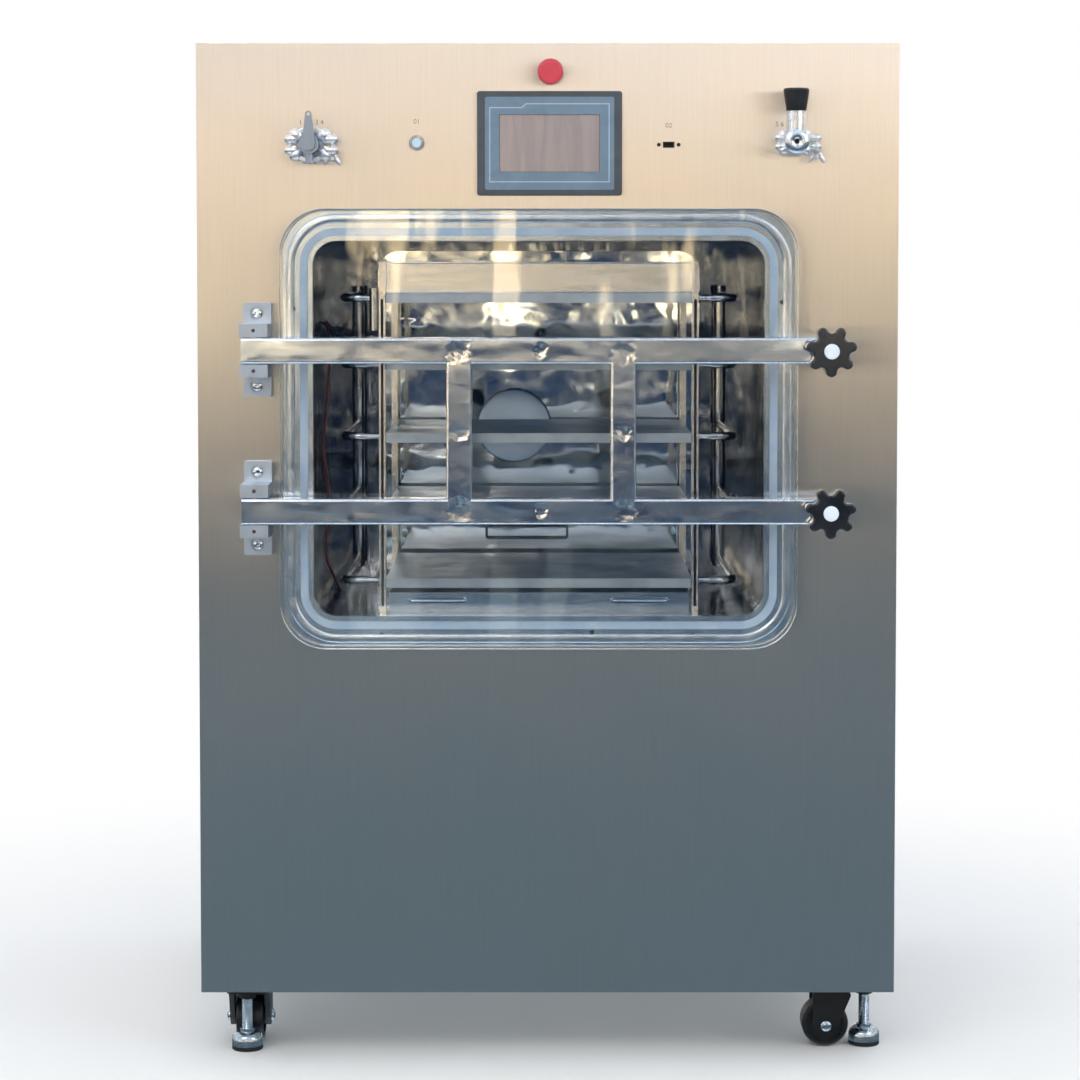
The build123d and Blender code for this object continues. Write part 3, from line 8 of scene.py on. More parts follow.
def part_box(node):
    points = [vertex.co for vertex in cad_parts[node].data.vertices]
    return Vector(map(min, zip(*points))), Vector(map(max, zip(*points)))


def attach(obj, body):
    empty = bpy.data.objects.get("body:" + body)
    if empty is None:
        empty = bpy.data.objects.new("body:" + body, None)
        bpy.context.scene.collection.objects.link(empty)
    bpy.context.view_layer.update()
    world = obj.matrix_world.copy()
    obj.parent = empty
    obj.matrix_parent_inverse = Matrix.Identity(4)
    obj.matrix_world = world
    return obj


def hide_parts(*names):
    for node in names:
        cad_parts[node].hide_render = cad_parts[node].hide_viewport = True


# A freeze dryer on casters: stainless cabinet, clear door, heated shelves, and what fits on them.
# Everything is in metres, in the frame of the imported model; mm turns millimetres into metres.
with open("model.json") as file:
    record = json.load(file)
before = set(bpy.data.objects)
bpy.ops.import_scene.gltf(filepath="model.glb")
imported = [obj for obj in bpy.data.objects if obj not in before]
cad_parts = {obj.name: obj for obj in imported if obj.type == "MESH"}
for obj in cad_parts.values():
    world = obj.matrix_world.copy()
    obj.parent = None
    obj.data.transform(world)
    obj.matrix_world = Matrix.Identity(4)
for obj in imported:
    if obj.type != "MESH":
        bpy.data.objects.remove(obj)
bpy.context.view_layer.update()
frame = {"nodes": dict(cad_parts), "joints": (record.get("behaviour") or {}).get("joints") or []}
nodes = frame["nodes"]
scene = bpy.context.scene
mm = 0.001
print("frame loaded:", len(nodes), "nodes")


def linear(hexColour):
    # sRGB hex to the linear value that a shader takes
    channels = [int(hexColour[i:i + 2], 16) / 255 for i in (1, 3, 5)]
    return [c / 12.92 if c <= 0.04045 else ((c + 0.055) / 1.055) ** 2.4 for c in channels] + [1.0]


def addNode(owner, kind, values=None, links=None, **settings):
    # settings are the node's own, values go to its inputs, links join outputs to its inputs
    tree = owner.node_tree
    node = tree.nodes.new("ShaderNode" + kind)
    for name, value in settings.items():
        setattr(node, name, value)
    for name, value in (values or {}).items():
        node.inputs[name].default_value = value
    for name, source in (links or {}).items():
        tree.links.new(source, node.inputs[name])
    return node


def newMaterial(name, colour, roughness, metallic=0.0, **values):
    material = bpy.data.materials.new(name)
    material.use_nodes = True
    surface = material.node_tree.nodes["Principled BSDF"]
    surface.inputs["Base Color"].default_value = linear(colour)
    surface.inputs["Roughness"].default_value = roughness
    surface.inputs["Metallic"].default_value = metallic
    for key, value in values.items():
        surface.inputs[key.replace("_", " ")].default_value = value
    return material, surface


def spots(material, size, detail=2.0, warp=0.0):
    # a noise whose blotches measure size millimetres along x, y and z
    here = addNode(material, "TexCoord").outputs["Object"]
    mapped = addNode(material, "Mapping", {"Scale": [1000.0 / s for s in size]}, {"Vector": here})
    return addNode(material, "TexNoise", {"Scale": 1.0, "Detail": detail, "Distortion": warp},
                   {"Vector": mapped.outputs["Vector"]}).outputs["Fac"]


def spread(material, source, low, high, start=0.3, end=0.7):
    # a pattern's value taken to the range low to high
    ends = {"From Min": start, "From Max": end, "To Min": low, "To Max": high}
    return addNode(material, "MapRange", ends, {"Value": source},
                   interpolation_type="SMOOTHSTEP").outputs["Result"]


def tint(material, source, first, second):
    # a colour between two, by a pattern's value; 6, 7 and 2 are the node's colour sockets
    return addNode(material, "Mix", {6: linear(first), 7: linear(second)}, {0: source},
                   data_type="RGBA").outputs[2]


def relief(material, surface, layers):
    # bumps on top of each other: (pattern, height in millimetres, strength)
    below = None
    for source, height, strength in layers:
        links = {"Height": source, **({"Normal": below} if below else {})}
        below = addNode(material, "Bump", {"Strength": strength, "Distance": height * mm},
                        links).outputs["Normal"]
    join(material, surface, Normal=below)


def join(material, surface, **sockets):
    for name, source in sockets.items():
        material.node_tree.links.new(source, surface.inputs[name.replace("_", " ")])


brushedSheet = {
    "colour": "#E4E2DE", "streak": "#E0DDD9",
    "grainWidth": 0.9, "grainLength": 110.0,  # real brush lines are 0.2 mm wide, drawn coarser to show
    "handling": 170.0,  # cloudy patches left by wiping
    "roughness": (0.28, 0.32), "anisotropy": 1.0,
    "grainAxis": (0.0, 0.03, 1.0),  # just off upright, so that level faces have a tangent too
}


def brushedStainless(name, along=2):
    # 304 sheet with a No. 4 finish: fine straight grain that smears reflections across it
    s = brushedSheet
    material, surface = newMaterial(name, s["colour"], s["roughness"][0], 1.0, Anisotropic=s["anisotropy"])
    grain = [s["grainWidth"]] * 3
    grain[along] = s["grainLength"]
    lines = spots(material, grain, 3.0)
    clouds = spots(material, [s["handling"]] * 3, 2.0)
    streaks = spread(material, lines, 0, 1, 0.35, 0.75)
    join(material, surface, Base_Color=tint(material, streaks, s["colour"], s["streak"]),
         Roughness=spread(material, clouds, *s["roughness"]))
    # the tangent runs across the grain
    normal = addNode(material, "NewGeometry").outputs["Normal"]
    across = addNode(material, "VectorMath", {1: s["grainAxis"]}, {0: normal}, operation="CROSS_PRODUCT")
    join(material, surface, Tangent=across.outputs["Vector"])
    return material


def polishedStainless(name, colour, wave, height, roughness):
    # 304 ground and buffed to a mirror: buffing leaves long soft waves that bend what it reflects
    material, surface = newMaterial(name, colour, roughness[0], 1.0)
    waves = spots(material, wave, 1.0, 0.4)
    haze = spots(material, [w * 0.8 for w in wave], 4.0, 1.0)
    join(material, surface, Roughness=spread(material, haze, *roughness))
    relief(material, surface, [(waves, height, 1.0), (spots(material, [7.0] * 3, 2.0), 0.01, 0.5)])
    return material


weldMarks = {
    # where pads and joints are welded to the door's frame: x, z and reach in millimetres
    "spots": ((-10.0, 1133.5, 15.0), (-137.0, 1009.0, 15.0), (117.0, 1009.0, 15.0), (-10.0, 884.5, 15.0),
              (-137.0, 1133.5, 24.0), (117.0, 1133.5, 24.0), (-137.0, 884.5, 24.0), (117.0, 884.5, 24.0)),
    "depth": 0.45, "bottom": 0.15,  # how deep a mark is, and the share of its reach that is flat
    "ragged": (16.0, 9.0),  # size of the ragged edge's lobes, and how far they stray
}


def dimpledTube():
    # square tube buffed after welding: the heat has drawn shallow dimples that swirl its reflections
    material = polishedStainless("polished square tube", "#DCE6F1", (70.0, 36.0, 36.0), 0.45, (0.08, 0.16))
    surface = material.node_tree.nodes["Principled BSDF"]
    spot = addNode(material, "TexCoord").outputs["Object"]
    lobe, stray = weldMarks["ragged"]
    lobes = addNode(material, "TexNoise", {"Scale": 1.0 / (lobe * mm), "Detail": 1.0}, {"Vector": spot})
    centred = addNode(material, "VectorMath", {1: (0.5, 0.5, 0.5)}, {0: lobes.outputs["Color"]},
                      operation="SUBTRACT").outputs["Vector"]
    strayed = addNode(material, "VectorMath", {1: [2 * stray * mm] * 3}, {0: centred, 2: spot},
                      operation="MULTIPLY_ADD").outputs["Vector"]
    flat = addNode(material, "VectorMath", {1: (1.0, 0.0, 1.0)}, {0: strayed},
                   operation="MULTIPLY").outputs["Vector"]
    nearest = None
    for x, z, reach in weldMarks["spots"]:
        away = addNode(material, "VectorMath", {1: (x * mm, 0.0, z * mm)}, {0: flat}, operation="DISTANCE")
        share = addNode(material, "Math", {1: reach * mm}, {0: away.outputs["Value"]},
                        operation="DIVIDE").outputs["Value"]
        nearest = share if nearest is None else addNode(
            material, "Math", links={0: nearest, 1: share}, operation="MINIMUM").outputs["Value"]
    rim = spread(material, nearest, 0, 1, weldMarks["bottom"], 1)
    before = surface.inputs["Normal"].links[0].from_socket
    bump = addNode(material, "Bump", {"Strength": 1.0, "Distance": weldMarks["depth"] * mm},
                   {"Height": rim, "Normal": before})
    join(material, surface, Normal=bump.outputs["Normal"])
    return material


def weldedTubeSteel():
    # mill finish square tube, dull grey, with faint heat tint by its welds
    material, surface = newMaterial("mill finish stainless tube", "#B5B3AF", 0.38, 1.0)
    clouds = spots(material, [45.0] * 3, 4.0)
    scale = spots(material, [1.5, 1.5, 30.0], 2.0)
    join(material, surface, Base_Color=tint(material, spread(material, clouds, 0, 1), "#BDBAB5", "#A09C98"),
         Roughness=spread(material, scale, 0.3, 0.46))
    relief(material, surface, [(scale, 0.05, 0.2)])
    return material


def clearAcrylic():
    # cast acrylic sheet, flame polished edges: clear, faintly cool, with hairline wiping scratches
    material, surface = newMaterial("cast acrylic", "#FCFEFF", 0.02, 0.0, IOR=1.49, Transmission_Weight=1.0)
    hairs = spots(material, [60.0, 60.0, 0.8], 3.0, 1.5)
    join(material, surface, Roughness=spread(material, hairs, 0.0, 0.05, 0.6, 0.8))
    return material


def moulded(name, colour, shade, roughness, pebble=1.2, height=0.02, **values):
    # injection moulded plastic: even colour, fine sandblasted texture, softly scuffed
    material, surface = newMaterial(name, colour, roughness, 0.0, **values)
    texture = spots(material, [pebble] * 3, 3.0)
    scuffs = spots(material, [35.0] * 3, 4.0, 0.8)
    join(material, surface, Base_Color=tint(material, spread(material, scuffs, 0, 1), colour, shade),
         Roughness=spread(material, scuffs, roughness - 0.05, roughness + 0.08))
    relief(material, surface, [(texture, height, 0.4)])
    return material


def castMetal(name, colour, roughness, pebble=0.9):
    # die cast and tumbled: pale, softly pitted, shinier where handled
    material, surface = newMaterial(name, colour, roughness, 1.0)
    pits = spots(material, [pebble] * 3, 3.0)
    wear = spots(material, [14.0] * 3, 3.0)
    join(material, surface, Roughness=spread(material, wear, roughness - 0.08, roughness + 0.08))
    relief(material, surface, [(pits, 0.06, 0.45)])
    return material


def turnedMetal(name, colour="#DCDFE2", roughness=0.14, ring=0.7):
    # turned and plated: bright, with fine tool rings
    material, surface = newMaterial(name, colour, roughness, 1.0)
    rings = spots(material, [ring, ring * 3, ring], 2.0)
    smudge = spots(material, [12.0] * 3, 3.0)
    join(material, surface, Roughness=spread(material, smudge, roughness - 0.05, roughness + 0.1))
    relief(material, surface, [(rings, 0.03, 0.25)])
    return material


def groundPlate():
    # cast aluminium plate, ground flat: satin, fine lines along the shelf
    material, surface = newMaterial("ground aluminium plate", "#CBD8E4", 0.3, 1.0)
    lines = spots(material, [90.0, 90.0, 1.0], 3.0)
    clouds = spots(material, [50.0] * 3, 3.0)
    join(material, surface, Base_Color=tint(material, spread(material, clouds, 0, 1), "#CEDBE7", "#B8C6D3"),
         Roughness=spread(material, lines, 0.28, 0.4))
    relief(material, surface, [(lines, 0.03, 0.25)])
    return material


def paleSilicone(name, colour, shade):
    # moulded silicone rubber: soft satin skin, slightly see-through at its edges
    material, surface = newMaterial(name, colour, 0.42, 0.0, Subsurface_Weight=0.15, Subsurface_Scale=0.003)
    clouds = spots(material, [40.0] * 3, 3.0)
    skin = spots(material, [1.6] * 3, 2.0)
    join(material, surface, Base_Color=tint(material, spread(material, clouds, 0, 1), colour, shade),
         Roughness=spread(material, clouds, 0.36, 0.5))
    relief(material, surface, [(skin, 0.03, 0.3)])
    return material


def enamel(name, colour, shade, roughness):
    # sprayed enamel: orange peel skin, a little dust on it
    material, surface = newMaterial(name, colour, roughness, 0.0, Coat_Weight=0.3, Coat_Roughness=0.12)
    peel = spots(material, [2.5] * 3, 2.0)
    dust = spots(material, [60.0] * 3, 4.0)
    join(material, surface, Base_Color=tint(material, spread(material, dust, 0, 1), colour, shade),
         Roughness=spread(material, dust, roughness, roughness + 0.15))
    relief(material, surface, [(peel, 0.08, 0.35)])
    return material


def finnedCoil():
    # aluminium fins stacked 16 mm apart here, 2 mm on the real one: thin bright edges, with painted shade as
    # a dark colour in the gaps between them
    material, surface = newMaterial("stacked aluminium fins", "#B9BCBE", 0.35, 1.0)
    here = addNode(material, "TexCoord").outputs["Object"]
    pitch, perUnit = 16.0, 20.0  # the node turns perUnit radians in each unit
    fins = addNode(material, "TexWave", {"Scale": 2 * pi / (perUnit * pitch * mm)}, {"Vector": here},
                   bands_direction="X").outputs["Fac"]
    # the dark colour is painted shade in the gaps between fins, the pale one is the fins' own aluminium
    join(material, surface, Base_Color=tint(material, fins, "#3C3F41", "#C4C7C9"))
    relief(material, surface, [(fins, 1.5, 0.8)])
    return material


def copperTube():
    # drawn copper, dulled to brown in patches
    material, surface = newMaterial("drawn copper", "#C98263", 0.28, 1.0)
    tarnish = spots(material, [30.0] * 3, 4.0, 0.5)
    patches = spread(material, tarnish, 0, 1)
    join(material, surface, Base_Color=tint(material, patches, "#CF8A68", "#8F5A45"),
         Roughness=spread(material, tarnish, 0.22, 0.42))
    relief(material, surface, [(spots(material, [4.0] * 3, 2.0), 0.05, 0.2)])
    return material


def screenGlass():
    # unlit liquid crystal screen under a touch film, glossy: its warm grey with soft vertical streaks is a
    # painted reflection of the room
    material, surface = newMaterial("touch screen film", "#8F8686", 0.16, 0.0, Coat_Weight=0.6,
                                    Coat_Roughness=0.04)
    streaks = spots(material, [16.0, 40.0, 120.0], 2.0, 0.8)
    smears = spots(material, [60.0, 60.0, 60.0], 1.0)
    # painted reflection: the warm grey and its streaks stand in for the room mirrored on the dark screen
    base = tint(material, spread(material, streaks, 0, 1), "#8F8686", "#9A908C")
    join(material, surface, Base_Color=base, Roughness=spread(material, smears, 0.12, 0.22))
    relief(material, surface, [(streaks, 0.05, 0.2)])
    return material


def bezelFilm(name="printed keypad film", colour="#6A8193", shade="#62798B"):
    # polyester film over the frame of the screen: flat blue grey, faint satin grain
    return moulded(name, colour, shade, 0.42, 0.8, 0.01)


panelSteel = brushedStainless("brushed stainless sheet")
topSteel = brushedStainless("brushed stainless sheet, laid flat", 0)
# the walls' colour is darker than mirror steel: painted shade of the deep chamber
wallSteelPaintedShade = polishedStainless("mirror polished wall steel", "#858A91", (32.0, 32.0, 60.0), 0.9,
                              (0.05, 0.14))
baffleSteel = polishedStainless("mirror polished baffle", "#EDF2F4", (70.0, 70.0, 50.0), 0.55, (0.03, 0.08))
flangeSteel = polishedStainless("polished flange steel", "#D6E2EE", (90.0, 90.0, 90.0), 0.5, (0.12, 0.22))
beadSteel = polishedStainless("buffed bead", "#E2ECF6", (50.0, 50.0, 50.0), 0.25, (0.14, 0.24))
tubeSteel = dimpledTube()
discSteel = polishedStainless("satin ground disc", "#BDD3EA", (60.0, 60.0, 60.0), 0.05, (0.29, 0.35))
bracketSteel = castMetal("investment cast stainless", "#C6D3E2", 0.37)
rackSteel = polishedStainless("satin polished rack steel", "#F8F4EA", (120.0, 60.0, 14.0), 0.12,
                              (0.17, 0.25))
traySteel = polishedStainless("satin tray steel", "#BCCAD8", (160.0, 60.0, 20.0), 0.1, (0.14, 0.24))
hoseSteel = polishedStainless("polished steel pipe", "#C3C6C9", (20.0, 20.0, 30.0), 0.1, (0.08, 0.18))
boltMetal = turnedMetal("plated turned steel")
chromed = turnedMetal("bright chromed steel", "#E3E7EB", 0.09, 0.5)
darkSteel = turnedMetal("blackened screw steel", "#5E656C", 0.33)
castAlloy = castMetal("tumbled die cast alloy", "#EDEEF0", 0.39)
spindleSteel = polishedStainless("polished valve steel", "#D8E3EF", (20.0, 20.0, 20.0), 0.04, (0.16, 0.24))
ringMetal = turnedMetal("bead blasted button ring", "#8F9DAC", 0.15)
valveSteel = polishedStainless("satin valve steel", "#9EABBC", (30.0, 30.0, 30.0), 0.05, (0.3, 0.36))
blackRubber = moulded("black rubber", "#0E1012", "#141719", 0.6, 1.5, 0.03)
blackNylon = moulded("glass filled black nylon", "#0B0F13", "#13171B", 0.36, 1.5, 0.03)
footSteel = turnedMetal("zinc plated turned steel", "#B7C4CF", 0.16, 0.9)
finishes = {
    "front_panel side_panels rear_panel floor_pan fluid_tank": panelSteel,
    "top_panel": topSteel,
    "chamber_shell cold_trap": wallSteelPaintedShade,
    "rear_baffle": baffleSteel,
    "baffle_fittings": darkSteel,
    "door_flange": flangeSteel,
    "door_frame clamp_sockets": tubeSteel,
    "hinge_brackets": bracketSteel,
    "shelf_rack": rackSteel,
    "drip_tray": traySteel,
    "base_frame": weldedTubeSteel(),
    "door_plate": clearAcrylic(),
    "door_gasket": paleSilicone("pale blue silicone gasket", "#D3E6F8", "#C0D8F0"),
    "heated_shelves": groundPlate(),
    "fasteners shelf_unions vacuum_port": boltMetal,
    "power_button_bezel": ringMetal,
    "left_valve_body left_valve_lever": valveSteel,
    "right_valve_body": spindleSteel,
    "left_wing_nut right_wing_nut valve_clamps": castAlloy,
    "shelf_hoses": hoseSteel,
    "probe_cable": moulded("pvc cable sheath", "#7A3B32", "#5E2B25", 0.45, 1.0, 0.02),
    "upper_knob lower_knob": moulded("glossy phenolic", "#14181D", "#1B2027", 0.14, 2.2, 0.02,
                                     Coat_Weight=0.5, Coat_Roughness=0.08),
    "hmi_housing": moulded("charcoal abs", "#444D55", "#3E464D", 0.45, 0.9, 0.03),
    "hmi_screen": screenGlass(),
    "estop_head": moulded("red acetal", "#C93F4E", "#BF3A49", 0.34, 1.0, 0.02),
    "estop_collar estop_plunger data_socket power_inlet condenser_fan right_valve_knob":
        moulded("black moulding", "#14181D", "#1A1F24", 0.37, 1.2, 0.03),
    "power_button_cap": moulded("milky lens plastic", "#C2D8EA", "#B6CEE2", 0.14, 1.5, 0.01,
                                Subsurface_Weight=0.3, Subsurface_Scale=0.004),
    "compressors": enamel("black enamel", "#17191B", "#26292B", 0.22),
    "electrical_box": enamel("grey powder coat", "#B6B8B6", "#A9ABA9", 0.45),
    "condenser": finnedCoil(),
    "refrigerant_lines": copperTube(),
}
for corner in ("front_left", "front_right", "rear_left", "rear_right"):
    finishes[corner + "_fork " + corner + "_wheel"] = blackNylon
    finishes[corner + "_foot"] = footSteel
for group, material in finishes.items():
    for name in group.split():
        nodes[name].data.materials.clear()
        nodes[name].data.materials.append(material)
print("finishes on", len(nodes), "nodes")


def place(node):
    # middle, lowest and highest corner of a node
    low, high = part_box(node)
    return (low + high) / 2, low, high


def upright(x, z, y):
    # a drawing in the xy plane stands up there, its front towards the user
    return Matrix.Translation((x, y, z)) @ Matrix.Rotation(radians(90), 4, "X")


def makePiece(name, shape, material, body, turn=None, sharp=35):
    # a finished bmesh becomes a piece that rides on a body
    if turn:
        bmesh.ops.transform(shape, matrix=turn, verts=shape.verts)
    bmesh.ops.recalc_face_normals(shape, faces=shape.faces)
    mesh = bpy.data.meshes.new(name)
    shape.to_mesh(mesh)
    shape.free()
    for polygon in mesh.polygons:
        polygon.use_smooth = True
    mesh.set_sharp_from_angle(angle=radians(sharp))
    mesh.materials.append(material)
    piece = bpy.data.objects.new(name, mesh)
    scene.collection.objects.link(piece)
    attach(piece, body)
    return piece


def turned(profile, steps=40):
    # a profile of (radius, height) in millimetres, turned round the z axis
    shape = bmesh.new()
    verts = [shape.verts.new((r * mm, 0.0, h * mm)) for r, h in profile]
    edges = [shape.edges.new(pair) for pair in zip(verts, verts[1:])]
    bmesh.ops.spin(shape, geom=verts + edges, cent=(0, 0, 0), axis=(0, 0, 1), angle=2 * pi, steps=steps,
                   use_merge=True)
    bmesh.ops.remove_doubles(shape, verts=shape.verts, dist=1e-6)
    return shape


def extrude(shape, height):
    # every face rises by height, and the walls close round it
    made = bmesh.ops.extrude_face_region(shape, geom=shape.faces[:])["geom"]
    raised = [v for v in made if isinstance(v, bmesh.types.BMVert)]
    bmesh.ops.translate(shape, vec=(0, 0, height), verts=raised)


def keepRim(shape, band):
    # only a band this many millimetres wide stays along the outline
    ring = bmesh.ops.inset_region(shape, faces=shape.faces[:], thickness=band * mm, use_even_offset=True,
                                  use_boundary=True)["faces"]
    bmesh.ops.delete(shape, geom=[f for f in shape.faces if f not in ring], context="FACES")


displayFace = {
    "size": (202.0, 145.0), "thick": 0.4, "corner": 3.0, "windowGap": 0.5,
    "lineColour": ("#9DB3C6", "#94AABD"),
    "line": ((-94.5, 56.5), (-44.0, 56.5), (-37.0, 62.5), (94.0, 62.5), (94.0, -61.0), (-94.5, -61.0)),
    "lineWidth": 1.8, "lineThick": 0.3,
}


def buildDisplayFace():
    # printed film on the display's front, with its window and its trim line
    s = displayFace
    middle, front = place("hmi_housing")[0], place("hmi_housing")[1].y
    screenLow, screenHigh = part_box("hmi_screen")
    window = [(screenHigh - screenLow)[axis] + 2 * s["windowGap"] * mm for axis in (0, 2)]
    shape = bmesh.new()
    bmesh.ops.create_grid(shape, x_segments=3, y_segments=3, size=0.5)
    for vert in shape.verts:
        for axis in (0, 1):
            side = 1 if vert.co[axis] > 0 else -1
            outer = abs(vert.co[axis]) > 0.3  # the rim is at 0.5, the hole's edge at a third of that
            vert.co[axis] = side * (s["size"][axis] * mm if outer else window[axis]) / 2
    hole = min(shape.faces, key=lambda f: f.calc_center_median().length)
    bmesh.ops.delete(shape, geom=[hole], context="FACES_ONLY")
    extrude(shape, s["thick"] * mm)
    rim = [value * mm / 2 - 1e-5 for value in s["size"]]
    corners = [e for e in shape.edges if abs(e.verts[0].co.z - e.verts[1].co.z) > 1e-5
               and abs(e.verts[0].co.x) > rim[0] and abs(e.verts[0].co.y) > rim[1]]
    bmesh.ops.bevel(shape, geom=corners, offset=s["corner"] * mm, segments=4, profile=0.5, affect="EDGES",
                    material=-1)
    makePiece("display_face", shape, bezelFilm(), "cabinet",
              upright(middle.x, middle.z, front))
    line = bmesh.new()
    line.faces.new([line.verts.new((x * mm, z * mm, 0)) for x, z in s["line"]])
    line.normal_update()
    keepRim(line, s["lineWidth"])
    extrude(line, s["lineThick"] * mm)
    makePiece("display_line", line, bezelFilm("pale printed line", *s["lineColour"]), "cabinet",
              upright(middle.x, middle.z, front - s["thick"] * mm))


marks = {
    "height": 7.6, "thick": 0.12, "emPerHeight": 1.4,  # the font's size is that much more than its digits'
    "words": (("1 2    3 4", "left_valve_body", 0.0, 41.0), ("01", "power_button_bezel", 0.0, 33.0),
              ("02", "data_socket", 0.0, 30.0), ("5 6", "right_valve_knob", -22.0, -27.0)),
}


def buildMarks():
    # small printed numbers beside the controls
    ink = moulded("screen printed ink", "#9A8C7E", "#8E8073", 0.5, 1.0, 0.005)
    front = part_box("front_panel")[0].y
    for index, (words, node, x, z) in enumerate(marks["words"]):
        curve = bpy.data.curves.new("numbers", "FONT")
        curve.body, curve.align_x, curve.align_y = words, "CENTER", "CENTER"
        curve.size, curve.extrude = marks["height"] * mm * marks["emPerHeight"], marks["thick"] * mm
        holder = bpy.data.objects.new("numbers", curve)
        scene.collection.objects.link(holder)
        bpy.context.view_layer.update()
        mesh = bpy.data.meshes.new_from_object(holder.evaluated_get(bpy.context.evaluated_depsgraph_get()))
        bpy.data.objects.remove(holder)
        shape = bmesh.new()
        shape.from_mesh(mesh)
        bmesh.ops.remove_doubles(shape, verts=shape.verts, dist=1e-6)
        middle = place(node)[0]
        makePiece("numbers_%d" % (index + 1), shape, ink, "cabinet",
                  upright(middle.x + x * mm, middle.z + z * mm, front - marks["thick"] * mm))


knobCap = {
    "seat": 1.4,  # how deep a cap sits in its knob
    "profile": ((0.0, 0.0), (11.2, 0.0), (11.8, 0.5), (11.8, 1.05), (11.1, 1.86), (8.85, 2.58), (4.72, 2.91),
                (0.0, 3.0)),
}


def buildKnobCaps():
    # white domed discs pressed into the star knobs
    ivory = moulded("white nylon cap", "#DDE9F2", "#D2E0EB", 0.3, 1.5, 0.01)
    for joint in frame["joints"]:
        knob = joint["child"]
        if knob in ("upper_knob", "lower_knob"):
            axis = Vector(joint["pos_m"])
            at = upright(axis.x, axis.z, place(knob)[1].y + knobCap["seat"] * mm)
            makePiece(knob + "_cap", turned(knobCap["profile"]), ivory, knob, at)


def fused(blanks, voxel, relax=6):
    # overlapping blanks grow into one casting with soft corners
    mesh = bpy.data.meshes.new("blanks")
    blanks.to_mesh(mesh)
    blanks.free()
    holder = bpy.data.objects.new("blanks", mesh)
    scene.collection.objects.link(holder)
    remesh = holder.modifiers.new("fuse", "REMESH")
    remesh.mode, remesh.voxel_size = "VOXEL", voxel * mm
    smooth = holder.modifiers.new("relax", "SMOOTH")
    smooth.factor, smooth.iterations = 0.5, relax
    bpy.context.view_layer.update()
    result = bpy.data.meshes.new_from_object(holder.evaluated_get(bpy.context.evaluated_depsgraph_get()))
    bpy.data.objects.remove(holder)
    shape = bmesh.new()
    shape.from_mesh(result)
    return shape


def addBall(shape, at, radii, turn=0.0):
    # a round blank, its radii in millimetres along x, y and z, turned about y
    size = Matrix.Diagonal([r * mm for r in radii] + [1.0])
    matrix = Matrix.Translation([c * mm for c in at]) @ Matrix.Rotation(radians(turn), 4, "Y") @ size
    bmesh.ops.create_uvsphere(shape, u_segments=20, v_segments=12, radius=1.0, matrix=matrix)


def addRod(shape, start, end, first, last):
    # a tapered rod between two points in millimetres
    a, b = Vector(start) * mm, Vector(end) * mm
    turn = (b - a).to_track_quat("Z", "Y").to_matrix().to_4x4()
    bmesh.ops.create_cone(shape, cap_ends=True, segments=24, radius1=first * mm, radius2=last * mm,
                          depth=(b - a).length, matrix=Matrix.Translation((a + b) / 2) @ turn)


wingNut = {
    "hub": (6.0, 4.6, 7.0),  # its radius at the top and at the bottom, its height
    "ear": (8.6, 2.3, 3.6), "earAt": (8.6, -13.0), "lean": 62.0,
    "root": (4.0, 2.2, 4.0), "rootAt": (5.0, -7.0),  # where an ear grows from the hub
    "voxel": 0.5,
}


def buildWingNuts():
    # cast wing nuts: a coned hub and two rounded ears
    s = wingNut
    top, low, height = s["hub"]
    for nut in ("left_wing_nut", "right_wing_nut"):
        middle, highest = place(nut)[0], place(nut)[2]
        blanks = bmesh.new()
        addRod(blanks, (0, 0, 0), (0, 0, -height), top, low)
        for side in (-1, 1):
            addBall(blanks, (side * s["earAt"][0], 0, s["earAt"][1]), s["ear"], side * s["lean"])
            addBall(blanks, (side * s["rootAt"][0], 0, s["rootAt"][1]), s["root"])
        piece = makePiece(nut + "_cast", fused(blanks, s["voxel"]), castAlloy, nut,
                          Matrix.Translation((middle.x, middle.y, highest.z)), 60)
        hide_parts(nut)


def roundedRing(size, corner, band, thick, edge=0.0):
    # a flat ring with round corners, its outside size by corner radius, its top edges softened
    shape = bmesh.new()
    bmesh.ops.create_grid(shape, x_segments=1, y_segments=1, size=0.5)
    for vert in shape.verts:
        vert.co.x, vert.co.y = vert.co.x * size[0] * mm, vert.co.y * size[1] * mm
    bmesh.ops.bevel(shape, geom=shape.verts[:], offset=corner * mm, segments=14, profile=0.5,
                    affect="VERTICES", material=-1)
    keepRim(shape, band)
    extrude(shape, thick * mm)
    if edge:
        top = [e for e in shape.edges if all(v.co.z > thick * mm * 0.99 for v in e.verts)
               and any(abs(f.normal.z) < 0.5 for f in e.link_faces)]
        bmesh.ops.bevel(shape, geom=top, offset=edge * mm, segments=4, profile=0.5, affect="EDGES",
                        material=-1)
    return shape


flangeTrim = {
    "mouthCorner": 38.0, "band": 47.0,  # the mouth's corner radius, the flange's width all round it
    "beadOut": 42.0,  # from the mouth's edge to the bead's outer edge
    "beadWidth": 14.0, "beadProud": 2.6, "beadEdge": 2.5,
    "screws": ((252.0, 1335.0), (367.0, 1208.0), (-398.0, 1198.0), (-261.0, 685.0), (70.0, 689.0),
               (228.0, 684.0)),
    "screw": ((0.0, 0.9), (1.7, 0.9), (1.7, 1.9), (2.9, 1.9), (3.6, 1.3), (3.8, 0.0), (0.0, 0.0)),
}


